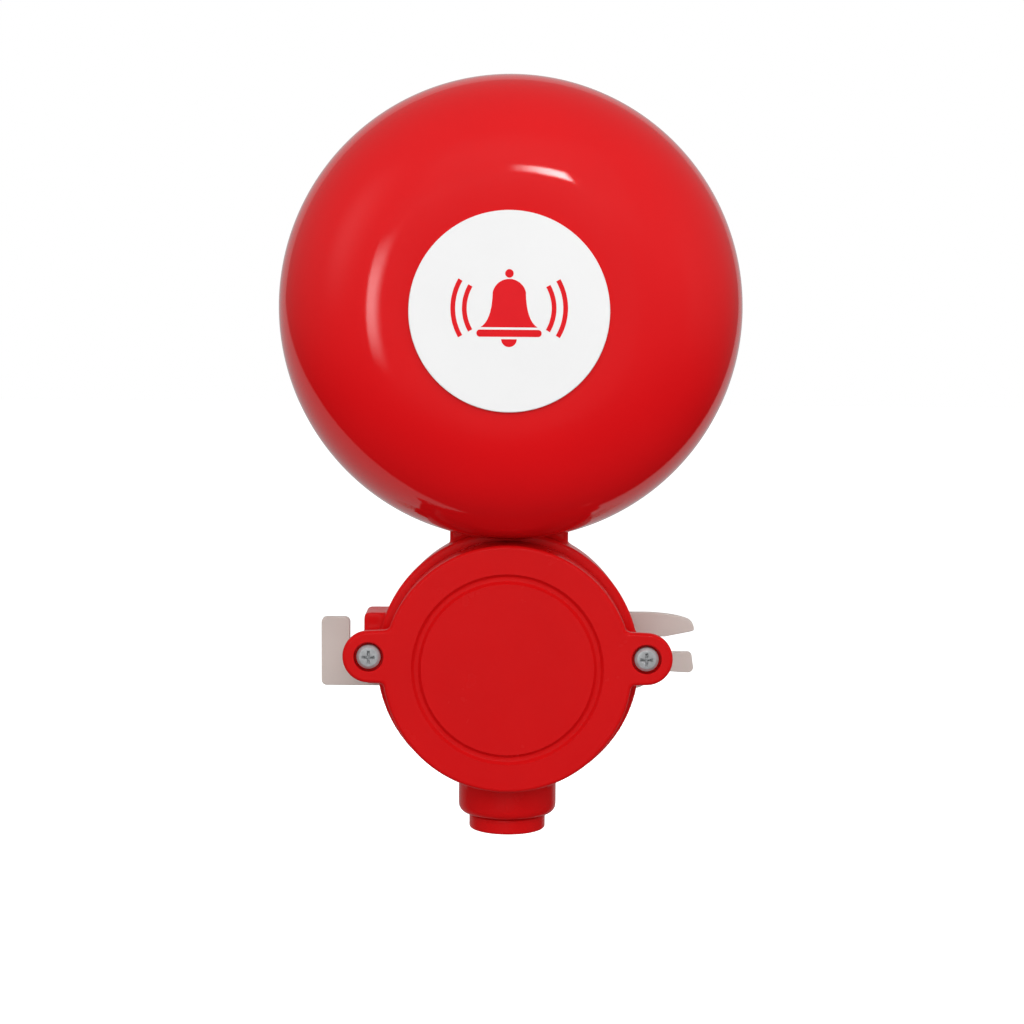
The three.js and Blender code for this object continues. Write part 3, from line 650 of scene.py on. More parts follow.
GONG_ENAMEL = Enamel("gong_enamel", (0.70, 0.006, 0.0085), 0.07, tint=0.02, patch=40, gloss_range=0.01)
CASTING_COAT = PowderCoat("casting_powder_coat", (0.60, 0.005, 0.006), 0.25, tint=0.02, patch=22,
                          specular=0.08)
BRACKET_COAT = PowderCoat("bracket_grey_coat", (0.60, 0.54, 0.50), 0.42, tint=0.03, patch=18,
                          pebble=0.5, pebble_height=0.006)
LABEL_FACE = Finish("label_white_face", (0.86, 0.86, 0.86), 0.45, tint=0.01, patch=25, specular=0.3)
LABEL_INK = Finish("label_red_ink", (0.74, 0.008, 0.014), 0.35, tint=0.03, patch=9, specular=0.1)
SCREW_ZINC = Plating("screw_zinc", (0.56, 0.57, 0.58), 0.32, tint=0.14, patch=1.6, metallic=0.5)
BRUSHED_ZINC = Plating("brushed_zinc", (0.60, 0.61, 0.62), 0.34, tint=0.08, patch=9,
                       stretch=(0.06, 1, 1), mark=0.4, mark_height=0.008)
SOFT_IRON = Plating("soft_iron", (0.30, 0.31, 0.32), 0.45, tint=0.12, patch=6, gloss_range=0.08)
TURNED_BRASS = Plating("turned_brass", (0.72, 0.50, 0.20), 0.28, tint=0.08, patch=4)
COPPER_WINDING = Winding("copper_winding", (0.62, 0.24, 0.09), 0.32, tint=0.15, patch=2)
BLACK_RUBBER = Rubber("black_rubber", (0.018, 0.018, 0.019), 0.75, tint=0.2, patch=5)
CREAM_NYLON = Finish("cream_nylon", (0.78, 0.74, 0.64), 0.42, tint=0.04, patch=6)
BLACK_MOULDING = Finish("black_moulding", (0.022, 0.023, 0.025), 0.45, tint=0.15, patch=7)
RED_INSULATION = Finish("red_insulation", (0.55, 0.015, 0.015), 0.40, tint=0.06, patch=6)
BLACK_INSULATION = Finish("black_insulation", (0.014, 0.014, 0.015), 0.40, tint=0.15, patch=6)
BOARD = BoardLacquer("board_lacquer", (0.016, 0.12, 0.035), 0.3)

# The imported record's slot for each finish.
SLOT_FINISHES: dict[str, Finish] = {
    "gong_paint": GONG_ENAMEL,
    "casting_paint": CASTING_COAT,
    "bracket_coat": BRACKET_COAT,
    "label_white": LABEL_FACE,
    "zinc_plate": SCREW_ZINC,
    "soft_iron": SOFT_IRON,
    "brass": TURNED_BRASS,
    "copper_wire": COPPER_WINDING,
    "rubber": BLACK_RUBBER,
    "nylon": CREAM_NYLON,
    "black_plastic": BLACK_MOULDING,
    "circuit_board": BOARD,
    "red_insulation": RED_INSULATION,
    "black_insulation": BLACK_INSULATION,
}


def finished(
    body: bpy.types.Object,
    slot: str,
    nodes: Sequence[str],
    rides: str = "base",
    extra: Sequence[Finish] = (),
    sharp: float = 36.0,
) -> bpy.types.Object:
    """Dress a piece, fix it to its body and hide the nodes that it stands for.

    Args:
        body: The piece.
        slot: Material slot of the record.
        nodes: CAD nodes that the piece replaces.
        rides: Body that the piece moves with.
        extra: More finishes, for faces with ink 1 and up.
        sharp: Edges that turn by more degrees than this stay sharp.

    Returns:
        The piece.
    """
    mesh = body.data
    if mesh.materials:
        mesh.materials.clear()
    for finish in (SLOT_FINISHES[slot], *extra):
        mesh.materials.append(finish.material())
    mesh.shade_smooth()
    mesh.set_sharp_from_angle(angle=math.radians(sharp))
    weighted = body.modifiers.new("weighted", "WEIGHTED_NORMAL")
    weighted.keep_sharp = True
    settle(body)
    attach(body, rides)
    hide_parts(*nodes)
    LOG.info("%s: %d faces, rides on %s", body.name, len(body.data.polygons), rides)
    return body


# ------------------------------------------------------------------ screws


@dataclass(frozen=True)
class Screw:
    """A pan-head or countersunk screw. Its axis is the Y axis and its head is at -Y."""

    head: float
    shank: float
    length: float
    height: float = 0.0
    drive: Drive = Drive.CROSS

    def form(self) -> Form:
        """The turned blank, with its seat or its flat top at depth 0."""
        if self.height:
            rim = self.height * 0.3
            profile = [
                (0, -self.height), (self.head - rim, -self.height), (self.head, rim - self.height),
                (self.head, 0), (self.shank, 0), (self.shank, self.length), (0, self.length),
            ]
        else:
            profile = [
                (0, 0), (self.head, 0), (self.head, GAP), (self.shank, self.head - self.shank + GAP),
                (self.shank, self.length), (0, self.length),
            ]
        return Form.turned(eased(profile, 0.16), Axis.DEPTH, 48)

    def recess(self) -> Form:
        """The tool that cuts the drive into the head."""
        top = -self.height
        depth = min(0.62 * self.head, (self.height or self.head * 0.6) * 0.62)
        arm, half = self.head * 0.58, self.head * 0.13
        if self.drive is Drive.SLOT:
            return Form.block((-self.head - 1, top - 1, -half), (self.head + 1, top + depth * 0.8, half))
        corners = [(half, half), (half, arm), (-half, arm), (-half, half), (-arm, half), (-arm, -half),
                   (-half, -half), (-half, -arm), (half, -arm), (half, -half), (arm, -half), (arm, half)]
        return Form.plate(corners, top - 0.2, top + depth, 0.55)

    def build(self, name: str, place: Point, facing_back: bool, slot: str, rides: str = "base") -> None:
        """Make the screw where its node is.

        Args:
            name: The node's name.
            place: Where the seat or the flat top is.
            facing_back: True if the head faces +Y.
            slot: Material slot of the record.
            rides: Body that the screw moves with.
        """
        blank, tool = self.form(), self.recess()
        if facing_back:
            blank, tool = blank.turned_round(), tool.turned_round()
        body = blank.moved(*place).thing(f"{name}_turned")
        carve(body, [tool.moved(*place)])
        finished(body, slot, [name], rides)


# ------------------------------------------------------------------ gong and label


@dataclass
class Gong:
    """Pressed steel gong with a dished centre and a rolled rim."""

    radius: float = 75.0
    rim_depth: float = -30.0
    depth: float = 36.0
    wall: float = 1.6
    crown: float = 33.0
    dish: float = 18.0
    dish_depth: float = 6.0
    hole: float = 3.6
    facets: int = 240

    def shoulder(self, inset: float, steps: int = 64) -> list[Flat]:
        """Points from the crown to the rim, moved in from the outer face.

        Args:
            inset: Distance in from the outer face.
            steps: Number of chords.

        Returns:
            Pairs of radius and depth.
        """
        front = self.rim_depth - self.depth
        handles = [Vector(pair) for pair in (
            (self.crown, front), (self.radius * 0.8, front),
            (self.radius - 0.4, front + self.depth * 0.42), (self.radius, self.rim_depth),
        )]
        points = []
        for i in range(steps + 1):
            t = i / steps
            shares = ((1 - t) ** 3, 3 * t * (1 - t) ** 2, 3 * t * t * (1 - t), t**3)
            at = sum((share * handle for share, handle in zip(shares, handles)), Vector((0, 0)))
            slopes = ((1 - t) ** 2, 2 * t * (1 - t), t * t)
            legs = [after - before for before, after in zip(handles, handles[1:])]
            along = sum((share * leg for share, leg in zip(slopes, legs)), Vector((0, 0))).normalized()
            depth = self.rim_depth if i == steps else at.y + along.x * inset
            points.append((at.x - along.y * inset, depth))
        return points

    def build(self) -> None:
        """Turn the gong and paint it."""
        front = self.rim_depth - self.depth
        floor = front + self.dish_depth
        dish = eased([(self.hole, floor), (self.dish - 3, floor), (self.dish, front),
                      (self.crown, front)], 1.4, 6)
        inner = [(radius + (1.2 if i else 0), depth + self.wall) for i, (radius, depth) in enumerate(dish)]
        outside, inside = self.shoulder(0), self.shoulder(self.wall)
        middle = ((outside[-1][0] + inside[-1][0]) / 2, self.rim_depth)
        lip = [(outside[-1][0], self.rim_depth - 0.5), *bend(
            (outside[-1][0], self.rim_depth - 0.4), (outside[-1][0], self.rim_depth), middle, 4)]
        lip += bend(middle, (inside[-1][0], self.rim_depth), (inside[-1][0], self.rim_depth - 0.4), 4)[1:]
        profile = [*dish[:-1], *outside[:-1], *lip, *reversed(inside[:-1]), *reversed(inner[:-1]), dish[0]]
        finished(Form.turned(profile, Axis.DEPTH, self.facets).thing("gong_shell"), "gong_paint", ["gong"])


@dataclass
class LabelDisc:
    """White disc clipped over the gong's fixing nut, printed with a plain bell sign."""

    radius: float = 31.2
    thickness: float = 1.1
    back: float = -66.3
    spigot: Flat = (12.0, 13.6)
    spigot_depth: float = 3.0
    print_depth: float = 0.06
    sign: float = 1.05

    def disc(self) -> Form:
        """The moulded disc with the ring that clips into the gong."""
        front = self.back - self.thickness + self.print_depth
        inner, outer = self.spigot
        edge = eased([(0, front), (self.radius, front), (self.radius, self.back),
                      (outer, self.back)], 0.45, 5)
        back = [(outer, self.back + self.spigot_depth), (inner, self.back + self.spigot_depth),
                (inner, self.back), (0, self.back)]
        return Form.turned([*edge, *back], Axis.DEPTH, 160)

    def sign_outlines(self) -> list[list[Flat]]:
        """Outlines of the bell sign: dome, lip, knob, clapper and two sound arcs a side."""
        side = [*arc((0, 4.6), 5.0, 90, 12, 10), *bend((4.9, 5.0), (5.2, -2.6), (8.4, -4.6), 10)]
        mirrored = [(-x, z) for x, z in reversed(side)]
        shapes = [
            [*side, *mirrored],
            rounded_rectangle((-9.6, -7.4), (9.6, -5.3), 1.0),
            arc((0, 11.2), 1.25, 0, 350, 35),
            arc((0, -8.1), 2.3, 180, 360, 16),
        ]
        for reach in (13.2, 16.6):
            for facing in (0, 180):
                outer = arc((0, 1.0), reach + 0.7, facing - 30, facing + 30, 20)
                inner = arc((0, 1.0), reach - 0.7, facing + 30, facing - 30, 20)
                shapes.append([*outer, *inner])
        return [[(x * self.sign, z * self.sign) for x, z in shape] for shape in shapes]

    def build(self) -> None:
        """Mould the disc and print the sign on it."""
        front = self.back - self.thickness
        prints = [Form.plate(outline, front, front + 2 * self.print_depth).inked(1)
                  for outline in self.sign_outlines()]
        piece = Form.together([self.disc(), *prints]).thing("label_disc_printed")
        finished(piece, "label_white", ["label_disc"], extra=[LABEL_INK])


# ------------------------------------------------------------------ casting and junction box cover


@dataclass
class Ears:
    """Where the two screw ears of the junction box are, and the bosses behind them."""

    across: float = 45.0
    rise: float = 3.8
    radius: float = 8.5
    boss: float = 5.5
    boss_end: float = -23.0
    waist: float = 2.0
    box_height: float = BOX_HEIGHT

    def boss_outline(self) -> list[Flat]:
        """Outline of both bosses with the bar that joins them, about the box's axis."""
        waist = self.boss + self.waist
        return [
            (0, self.rise - waist), *arc((self.across, self.rise), self.boss, -90, 90, 24),
            (0, self.rise + waist), *arc((-self.across, self.rise), self.boss, 90, 270, 24),
        ]


@dataclass
class Casting:
    """Die-cast housing: solenoid chamber, neck, junction box, ears, side boss and conduit hub."""

    ears: Ears
    chamber: float = 35.0
    chamber_wall: float = 3.5
    chamber_front: float = -52.0
    chamber_back: float = -4.2
    chamber_face: float = 3.0
    neck: float = 19.5
    neck_front: float = -25.0
    back: float = -3.3
    box: float = 43.4
    box_bore: float = BOX_BORE
    box_rim: float = -28.5
    box_floor: float = BOX_FLOOR
    hub: float = 16.3
    hub_depth: float = HUB_DEPTH
    hub_end: float = 52.3
    hub_bore: float = 10.0
    striker_depth: float = STRIKER_DEPTH
    post_across: float = 20.2
    bracket_screw: float = BRACKET_SCREW_ACROSS
    rear_screw: float = 28.0
    yoke_screw: Flat = (13.6, -4.0)
    block_screw: float = 15.5
    post_boss: float = 2.7
    bracket_boss: float = 4.5
    screw_boss: float = 4.0
    small_hole: float = 1.55
    yoke_hole: float = 1.75
    rear_hole: float = 1.8
    bracket_hole: float = 2.15
    ear_hole: float = 2.25
    post_hole: float = 4.35
    striker_hole: float = 4.6
    cover_spigot: float = 41.1
    groove_play: float = 0.2
    groove_depth: float = 1.1
    earth: Flat = EARTH_PLACE

    def blank(self) -> list[Form]:
        """The outside shapes, which run into each other."""
        height = self.ears.box_height
        chamber = Form.turned([
            (0, self.chamber_front), (self.chamber - 2, self.chamber_front),
            (self.chamber, self.chamber_front + 2), (self.chamber, self.chamber_back), (0, self.chamber_back),
        ], Axis.DEPTH, 160)
        neck = Form.plate(rounded_rectangle((-self.neck, height + 10), (self.neck, -15), 2),
                          self.neck_front, self.back - 1)
        box = Form.turned([
            (0, self.box_rim), (self.box, self.box_rim), (self.box - 1.5, self.back), (0, self.back),
        ], Axis.DEPTH, 160).moved(z=height)
        ears = Form.plate(self.ears.boss_outline(), self.box_rim, self.ears.boss_end).moved(z=height)
        boss = Form.plate(rounded_rectangle((-48, height - 9), (-30, height + 15), 1.5), -22, -6)
        end = height - self.hub_end
        hub = Form.turned([
            (0, end), (self.hub - 2.6, end), *arc((self.hub - 2.6, end + 2.6), 2.6, -90, 0, 8),
            (self.hub, height - 30), (0, height - 30),
        ], Axis.HEIGHT, 96).moved(y=self.hub_depth)
        return [chamber, neck, box, ears, boss, hub]

    def hollows(self) -> list[Form]:
        """Chamber, box, lead passage, stepped conduit bore, and the room for the cover's edge."""
        height = self.ears.box_height
        bore = self.chamber - self.chamber_wall
        box_end = height - self.box_bore
        return [
            Form.bar(self.cover_spigot, -48, self.box_rim - 0.02, facets=160).moved(z=height),
            Form.bar(bore, self.chamber_front + self.chamber_face, 1, facets=128),
            Form.bar(self.box_bore, self.box_rim - 1, self.box_floor, facets=128).moved(z=height),
            Form.block((-7, -19, height + self.box_bore - 4), (7, -9, 3 - bore)),
            Form.bar(self.hub_bore - 2, box_end - 3, box_end + 3, Axis.HEIGHT).moved(y=self.hub_depth),
            Form.bar(self.hub_bore, height - self.hub_end - 1, box_end - 2.3,
                     Axis.HEIGHT).moved(y=self.hub_depth),
        ]

    def bosses(self) -> list[Form]:
        """Posts that stand in the hollows."""
        height = self.ears.box_height
        made = [Form.bar(self.screw_boss, -20, self.chamber_back - 0.1).moved(x=x, z=z)
                for x, z in self.rear_places()]
        for side in (-1, 1):
            post = Form.bar(self.post_boss, self.chamber_front + 2, -14.2)
            made.append(post.moved(x=side * self.post_across))
            seat = Form.bar(self.bracket_boss, -11, self.box_floor + 1)
            made.append(seat.moved(x=side * self.bracket_screw, z=height))
        earth = Form.bar(self.screw_boss, -11, self.box_floor + 1)
        made.append(earth.moved(x=self.earth[0], z=height + self.earth[1]))
        return made

    def holes(self) -> list[Form]:
        """Screw holes, the striker's hole, the gasket groove and the gong post's hole."""
        height = self.ears.box_height
        yoke_x, yoke_z = self.yoke_screw
        made = [Form.bar(self.rear_hole, -11.8, 0).moved(x=x, z=z) for x, z in self.rear_places()]
        for side in (-1, 1):
            made += [
                Form.bar(self.small_hole, -20, -13.9).moved(x=side * self.post_across),
                Form.bar(self.yoke_hole, self.chamber_front + 1, self.chamber_front + 4).moved(
                    x=side * yoke_x, z=yoke_z),
                Form.bar(self.bracket_hole, -10.2, 0).moved(x=side * self.bracket_screw, z=height),
                Form.bar(self.small_hole, self.box_floor - 1, -4.4).moved(
                    x=side * self.block_screw, z=height),
                Form.bar(self.ear_hole, self.box_rim - 1, self.ears.boss_end + 1).moved(
                    x=side * self.ears.across, z=height + self.ears.rise),
            ]
        earth = Form.bar(self.bracket_hole, -12, -5.4)
        made.append(earth.moved(x=self.earth[0], z=height + self.earth[1]))
        made.append(Form.bar(self.post_hole, self.chamber_front - 1, self.chamber_front + 4))
        made.append(Form.bar(self.striker_hole, 28.5, 37, Axis.HEIGHT).moved(y=self.striker_depth))
        inner, outer = GASKET_RADII[0] - self.groove_play, GASKET_RADII[1] + self.groove_play
        groove = Form.ring(inner, outer, self.box_rim - 1, self.box_rim + self.groove_depth,
                           ease=0, facets=160)
        made.append(groove.moved(z=height))
        return made

    def rear_places(self) -> list[Flat]:
        """Where the four rear cover screws are."""
        return [(self.rear_screw * math.cos(a), self.rear_screw * math.sin(a))
                for a in (math.radians(45 + 90 * i) for i in range(4))]

    def build(self) -> None:
        """Cast the housing, then machine it."""
        body = cast("housing_casting_cast", self.blank(), 0.7, 7)
        carve(body, self.hollows())
        carve(body, self.bosses(), Carve.JOIN)
        carve(body, self.holes())
        finished(body, "casting_paint", ["housing_casting"])


@dataclass
class JunctionCover:
    """Round cover with a turned groove and two flush ears with counterbored screws."""

    ears: Ears
    screw: Screw
    radius: float = 40.5
    front: float = -44.0
    back: float = -28.62
    wall: float = 3.5
    ear_back: float = -41.0
    edge: float = 1.2
    back_edge: float = 0.5
    fillet: float = 1.6
    step: float = 0.05
    groove: Flat = (28.3, 30.9)
    groove_depth: float = 1.1
    counterbore: float = 4.75
    counterbore_depth: float = 3.2
    lip: float = 0.35

    def outline(self, inset: float) -> list[Flat]:
        """Outline of the disc and its ears, drawn in by a little.

        Args:
            inset: Distance in from the full outline.

        Returns:
            The outline, anticlockwise, about the box's axis.
        """
        big, small = self.radius - inset, self.ears.radius - inset
        turn = math.degrees(self.fillet / big)
        roots = []
        for side in (-1, 1):
            inner = Vector((0, self.ears.rise + side * (small + self.ears.waist)))
            outer = Vector((self.ears.across, self.ears.rise + side * small))
            along = (outer - inner).normalized()
            middle = inner.dot(along)
            meet = inner + along * (math.sqrt(big**2 - inner.length_squared + middle**2) - middle)
            angle = math.degrees(math.atan2(meet.y, meet.x)) + side * turn
            roots.append((tuple(meet), tuple(meet + along * self.fillet), angle))
        (low, low_out, low_angle), (high, high_out, high_angle) = roots
        below = arc((0, 0), big, -90, low_angle, 60)
        above = arc((0, 0), big, high_angle, 90, 60)
        right = [
            *below, *bend(below[-1], low, low_out)[1:],
            *arc((self.ears.across, self.ears.rise), small, -90, 90, 40),
            *bend(high_out, high, above[0])[:-1], *above,
        ]
        return [*right, *[(-x, z) for x, z in reversed(right)][1:-1]]

    def lid(self) -> Form:
        """The front part of the cover with its ears and a round front edge."""
        layers = []
        for i in range(9):
            angle = math.radians(90 * i / 8)
            drop, inset = self.edge * (1 - math.cos(angle)), self.edge * (1 - math.sin(angle))
            layers.append((self.front + drop, self.outline(inset)))
        layers.append((self.ear_back - self.back_edge, self.outline(0)))
        layers.append((self.ear_back, self.outline(self.back_edge)))
        return Form.stack(layers)

    def skirt(self) -> list[Form]:
        """The round wall and the screw bosses behind the lid."""
        overlap = self.ear_back - 2
        return [
            Form.bar(self.radius - self.step, overlap, self.back, facets=192),
            Form.plate(self.ears.boss_outline(), overlap, self.back),
        ]

    def groove_tool(self) -> Form:
        """Ring that cuts the groove, with round edges and floor."""
        inner, outer = self.groove
        deep, high = self.front + self.groove_depth, self.front - 1
        flare = 0.35
        return Form.turned([
            (inner - flare, high), (inner - flare, self.front - 0.01), (inner, self.front + flare),
            (inner + 0.5, deep - 0.12), (inner + 0.8, deep), (outer - 0.8, deep), (outer - 0.5, deep - 0.12),
            (outer, self.front + flare), (outer + flare, self.front - 0.01), (outer + flare, high),
            (inner - flare, high),
        ], Axis.DEPTH, 192)

    def ear_tools(self) -> list[Form]:
        """Counterbores with rounded lips, and the screw holes below them."""
        seat = self.front + self.counterbore_depth
        lip = arc((self.counterbore + self.lip, self.front + self.lip), self.lip, 180, 270, 6)
        profile = [(0, seat), (self.counterbore, seat), *lip,
                   (self.counterbore + self.lip, self.front - 2), (0, self.front - 2)]
        tools = []
        for side in (-1, 1):
            place = {"x": side * self.ears.across, "z": self.ears.rise}
            tools.append(Form.turned(profile, Axis.DEPTH, 64).moved(**place))
            hole = Form.bar(self.screw.shank + HOLE_PLAY, seat - 0.5, self.back + 1, facets=32)
            tools.append(hole.moved(**place))
        return tools

    def build(self) -> None:
        """Cast the cover, then machine it and fit its screws."""
        height = self.ears.box_height
        body = self.lid().moved(z=height).thing("junction_cover_cast")
        carve(body, [form.moved(z=height) for form in self.skirt()], Carve.JOIN)
        hollow = Form.turned([
            (0, self.front + self.wall), (self.radius - self.wall - 1.5, self.front + self.wall),
            (self.radius - self.wall, self.front + self.wall + 1.5), (self.radius - self.wall, self.back + 1),
            (0, self.back + 1),
        ], Axis.DEPTH, 128)
        carve(body, [tool.moved(z=height) for tool in (hollow, self.groove_tool(), *self.ear_tools())])
        finished(body, "casting_paint", ["junction_cover"], "cover")
        seat = self.front + self.counterbore_depth - GAP
        for name, side in SIDES:
            place = (side * self.ears.across, seat, height + self.ears.rise)
            self.screw.build(f"cover_screw_{name}", place, False, "zinc_plate", "cover")


# ------------------------------------------------------------------ bracket, rear cover and gland


def countersink(screw: Screw, x: float, z: float) -> Form:
    """Tool that lets a countersunk screw into the wall side of a plate at depth 0."""
    hole, mouth = screw.shank + HOLE_PLAY, screw.head + HOLE_PLAY
    seat = -2 * GAP
    return Form.turned([
        (0, -8), (hole, -8), (hole, seat - screw.head + screw.shank), (mouth, seat), (mouth, 1), (0, 1),
    ], Axis.DEPTH, 48).moved(x=x, z=z)


@dataclass
class Bracket:
    """Flat steel wall bracket: a hook open to the top on the left, a fork open to the right."""

    screw: Screw
    height: float = BOX_HEIGHT
    thickness: float = 3.0
    screw_across: float = BRACKET_SCREW_ACROSS
    edge: float = 1.1
    half: float = 47.0
    foot: float = -12.9
    foot_top: float = -7.7
    lug: tuple[float, float, float] = (-63.8, -54.1, 10.6)
    fork_end: float = 62.8
    fork_bottom: float = -6.8
    slot: tuple[float, float, float] = (49.0, -0.4, 4.9)

    def outline(self) -> list[Flat]:
        """The bracket's outline about the box's axis, anticlockwise."""
        left, right, top = self.lug
        root, low, high = self.slot
        end, corner, tip = self.fork_end, 1.8, 1.4
        middle = (low + high) / 2
        return [
            *arc((left + corner, self.foot + corner), corner, 180, 270, 8),
            (self.half - 4, self.foot),
            *bend((self.half - 4, self.foot), (self.half, self.foot), (self.half + 2, self.fork_bottom))[1:],
            *arc((end - tip - 0.6, self.fork_bottom + tip), tip + 0.6, -90, 0, 8)[:-1],
            *arc((end - 2, low - tip), tip, 0, 90, 8),
            *arc((root, middle), (high - low) / 2, -90, -270, 16),
            (53.0, high),
            *bend((end - 2, high + 1.6), (end, high + 2), (end, 7.4)),
            *bend((end, 7.4), (end, 10.8), (end - 4, 11.6))[1:],
            *bend((end - 4, 11.6), (end - 8, 12.8), (self.half, 13.1))[1:],
            *arc((1 - self.half, 12.1), 1, 90, 180, 6),
            *arc((-self.half - 1, self.foot_top + 1), 1, 0, -90, 6),
            *arc((right + 1, self.foot_top + 1), 1, -90, -180, 6),
            *arc((right - corner, top - corner), corner, 0, 90, 8),
            *arc((left + corner, top - corner), corner, 90, 180, 8),
        ]

    def build(self) -> None:
        """Stamp the bracket, coat it and fit its two screws."""
        body = Form.plate(self.outline(), -self.thickness, 0).moved(z=self.height).thing("bracket_stamped")
        soften_edges(body, self.edge, 4)
        carve(body, [countersink(self.screw, side * self.screw_across, self.height) for _, side in SIDES])
        finished(body, "bracket_coat", ["mounting_bracket"])
        for name, side in SIDES:
            place = (side * self.screw_across, -GAP, self.height)
            self.screw.build(f"bracket_screw_{name}", place, True, "zinc_plate")


@dataclass
class RearCover:
    """Round steel plate that closes the solenoid chamber, with its gasket and four screws."""

    screw: Screw
    radius: float = 34.8
    thickness: float = 2.6

    def build(self, places: Sequence[Flat]) -> None:
        """Turn the plate and fit its screws.

        Args:
            places: Where the screws are, across and up.
        """
        profile = eased([(0, -self.thickness), (self.radius, -self.thickness), (self.radius, 0), (0, 0)],
                        0.5, 4)
        body = Form.turned(profile, Axis.DEPTH, 128).thing("rear_cover_plate")
        carve(body, [countersink(self.screw, x, z) for x, z in places])
        piece = finished(body, "zinc_plate", ["rear_cover"])
        piece.data.materials[0] = BRUSHED_ZINC.material()
        gasket = Form.ring(31.5, self.radius, -3.9, -self.thickness - GAP, facets=128)
        finished(gasket.thing("rear_gasket_moulded"), "rubber", ["rear_gasket"])
        for i, (x, z) in enumerate(places):
            self.screw.build(f"rear_screw_{i + 1}", (x, -GAP, z), True, "zinc_plate")


@dataclass
class Gland:
    """Compression ring with its washer and seal, in the conduit hub."""

    radius: float = 12.7
    depth: float = HUB_DEPTH
    box_height: float = BOX_HEIGHT
    end: float = 57.7
    collar: float = 52.6
    spigot: float = 9.65
    bore: float = 5.5

    def build(self) -> None:
        """Turn the ring and mould the seal."""
        low, collar = self.box_height - self.end, self.box_height - self.collar
        seal_low, seal_high = self.box_height - 45.7, self.box_height - 40.1
        top = seal_low - 1.4
        nut = Form.turned(eased([
            (self.bore, low), (self.radius, low), (self.radius, collar), (self.spigot, collar),
            (self.spigot, top), (self.bore, top), (self.bore, low),
        ], 0.9, 5), Axis.HEIGHT, 128).moved(y=self.depth)
        finished(nut.thing("gland_nut_turned"), "casting_paint", ["gland_nut"])
        washer = Form.ring(self.bore, 9.45, seal_low - 1.1, seal_low - GAP, Axis.HEIGHT, 0.15)
        finished(washer.moved(y=self.depth).thing("gland_washer_turned"), "zinc_plate", ["gland_washer"])
        seal = Form.ring(4.0, 9.45, seal_low, seal_high, Axis.HEIGHT, 0.5)
        finished(seal.moved(y=self.depth).thing("gland_seal_moulded"), "rubber", ["gland_seal"])


# ------------------------------------------------------------------ striker and box contents


@dataclass
class Striker:
    """The rod, collar and tip that slide up to hit the gong, with their bush and seal."""

    depth: float = STRIKER_DEPTH
    rod: float = 1.6
    top: float = 68.2
    collar_top: float = 17.8

    def build(self) -> None:
        """Turn every piece of the striker."""
        tip_foot, hollow = self.top - 8, self.rod + HOLE_PLAY
        rod = Form.turned(eased([(0, -12.2), (self.rod, -12.2), (self.rod, tip_foot + 4),
                                 (0, tip_foot + 4)], 0.3), Axis.HEIGHT, 32)
        self.piece("striker_rod", rod, "zinc_plate", "striker")
        tip = Form.turned([
            (hollow, tip_foot), (3.3, tip_foot), (3.5, tip_foot + 0.2), (3.5, self.top - 1.4),
            *bend((3.5, self.top - 1.4), (3.4, self.top), (0, self.top), 10),
            (0, tip_foot + 4.3), (hollow, tip_foot + 4.3), (hollow, tip_foot),
        ], Axis.HEIGHT, 48)
        self.piece("striker_tip", tip, "nylon", "striker")
        collar = Form.ring(hollow, 4.2, self.collar_top - 1.4, self.collar_top, Axis.HEIGHT, 0.25, 48)
        self.piece("spring_collar", collar, "zinc_plate", "striker")
        bore, flange = self.rod + 0.2, 29.0
        bush = Form.turned(eased([
            (bore, flange), (6, flange), (6, flange + 1.4), (4.2, flange + 1.4), (4.2, 38), (bore, 38),
            (bore, flange),
        ], 0.25), Axis.HEIGHT, 64)
        self.piece("guide_bush", bush, "brass", "base")
        self.piece("bush_seal", Form.ring(4.5, 7, 35.3, 37.6, Axis.HEIGHT, 0.7), "rubber", "base")

    def piece(self, node: str, form: Form, slot: str, rides: str) -> None:
        """Place and dress one piece of the striker."""
        finished(form.moved(y=self.depth).thing(f"{node}_turned"), slot, [node], rides)


def smooth_path(points: Sequence[Point], steps: int = 8) -> list[Point]:
    """Smooth curve through some points.

    Args:
        points: The points, in order.
        steps: Chords between each two points.

    Returns:
        Points along the curve.
    """
    ends = [Vector(point) for point in points]
    ends = [2 * ends[0] - ends[1], *ends, 2 * ends[-1] - ends[-2]]
    made = []
    for a, b, c, d in zip(ends, ends[1:], ends[2:], ends[3:]):
        for i in range(steps):
            t = i / steps
            made.append(tuple(0.5 * (2 * b + (c - a) * t + (2 * a - 5 * b + 4 * c - d) * t * t
                                     + (3 * b - a - 3 * c + d) * t**3)))
    return [*made, tuple(ends[-2])]


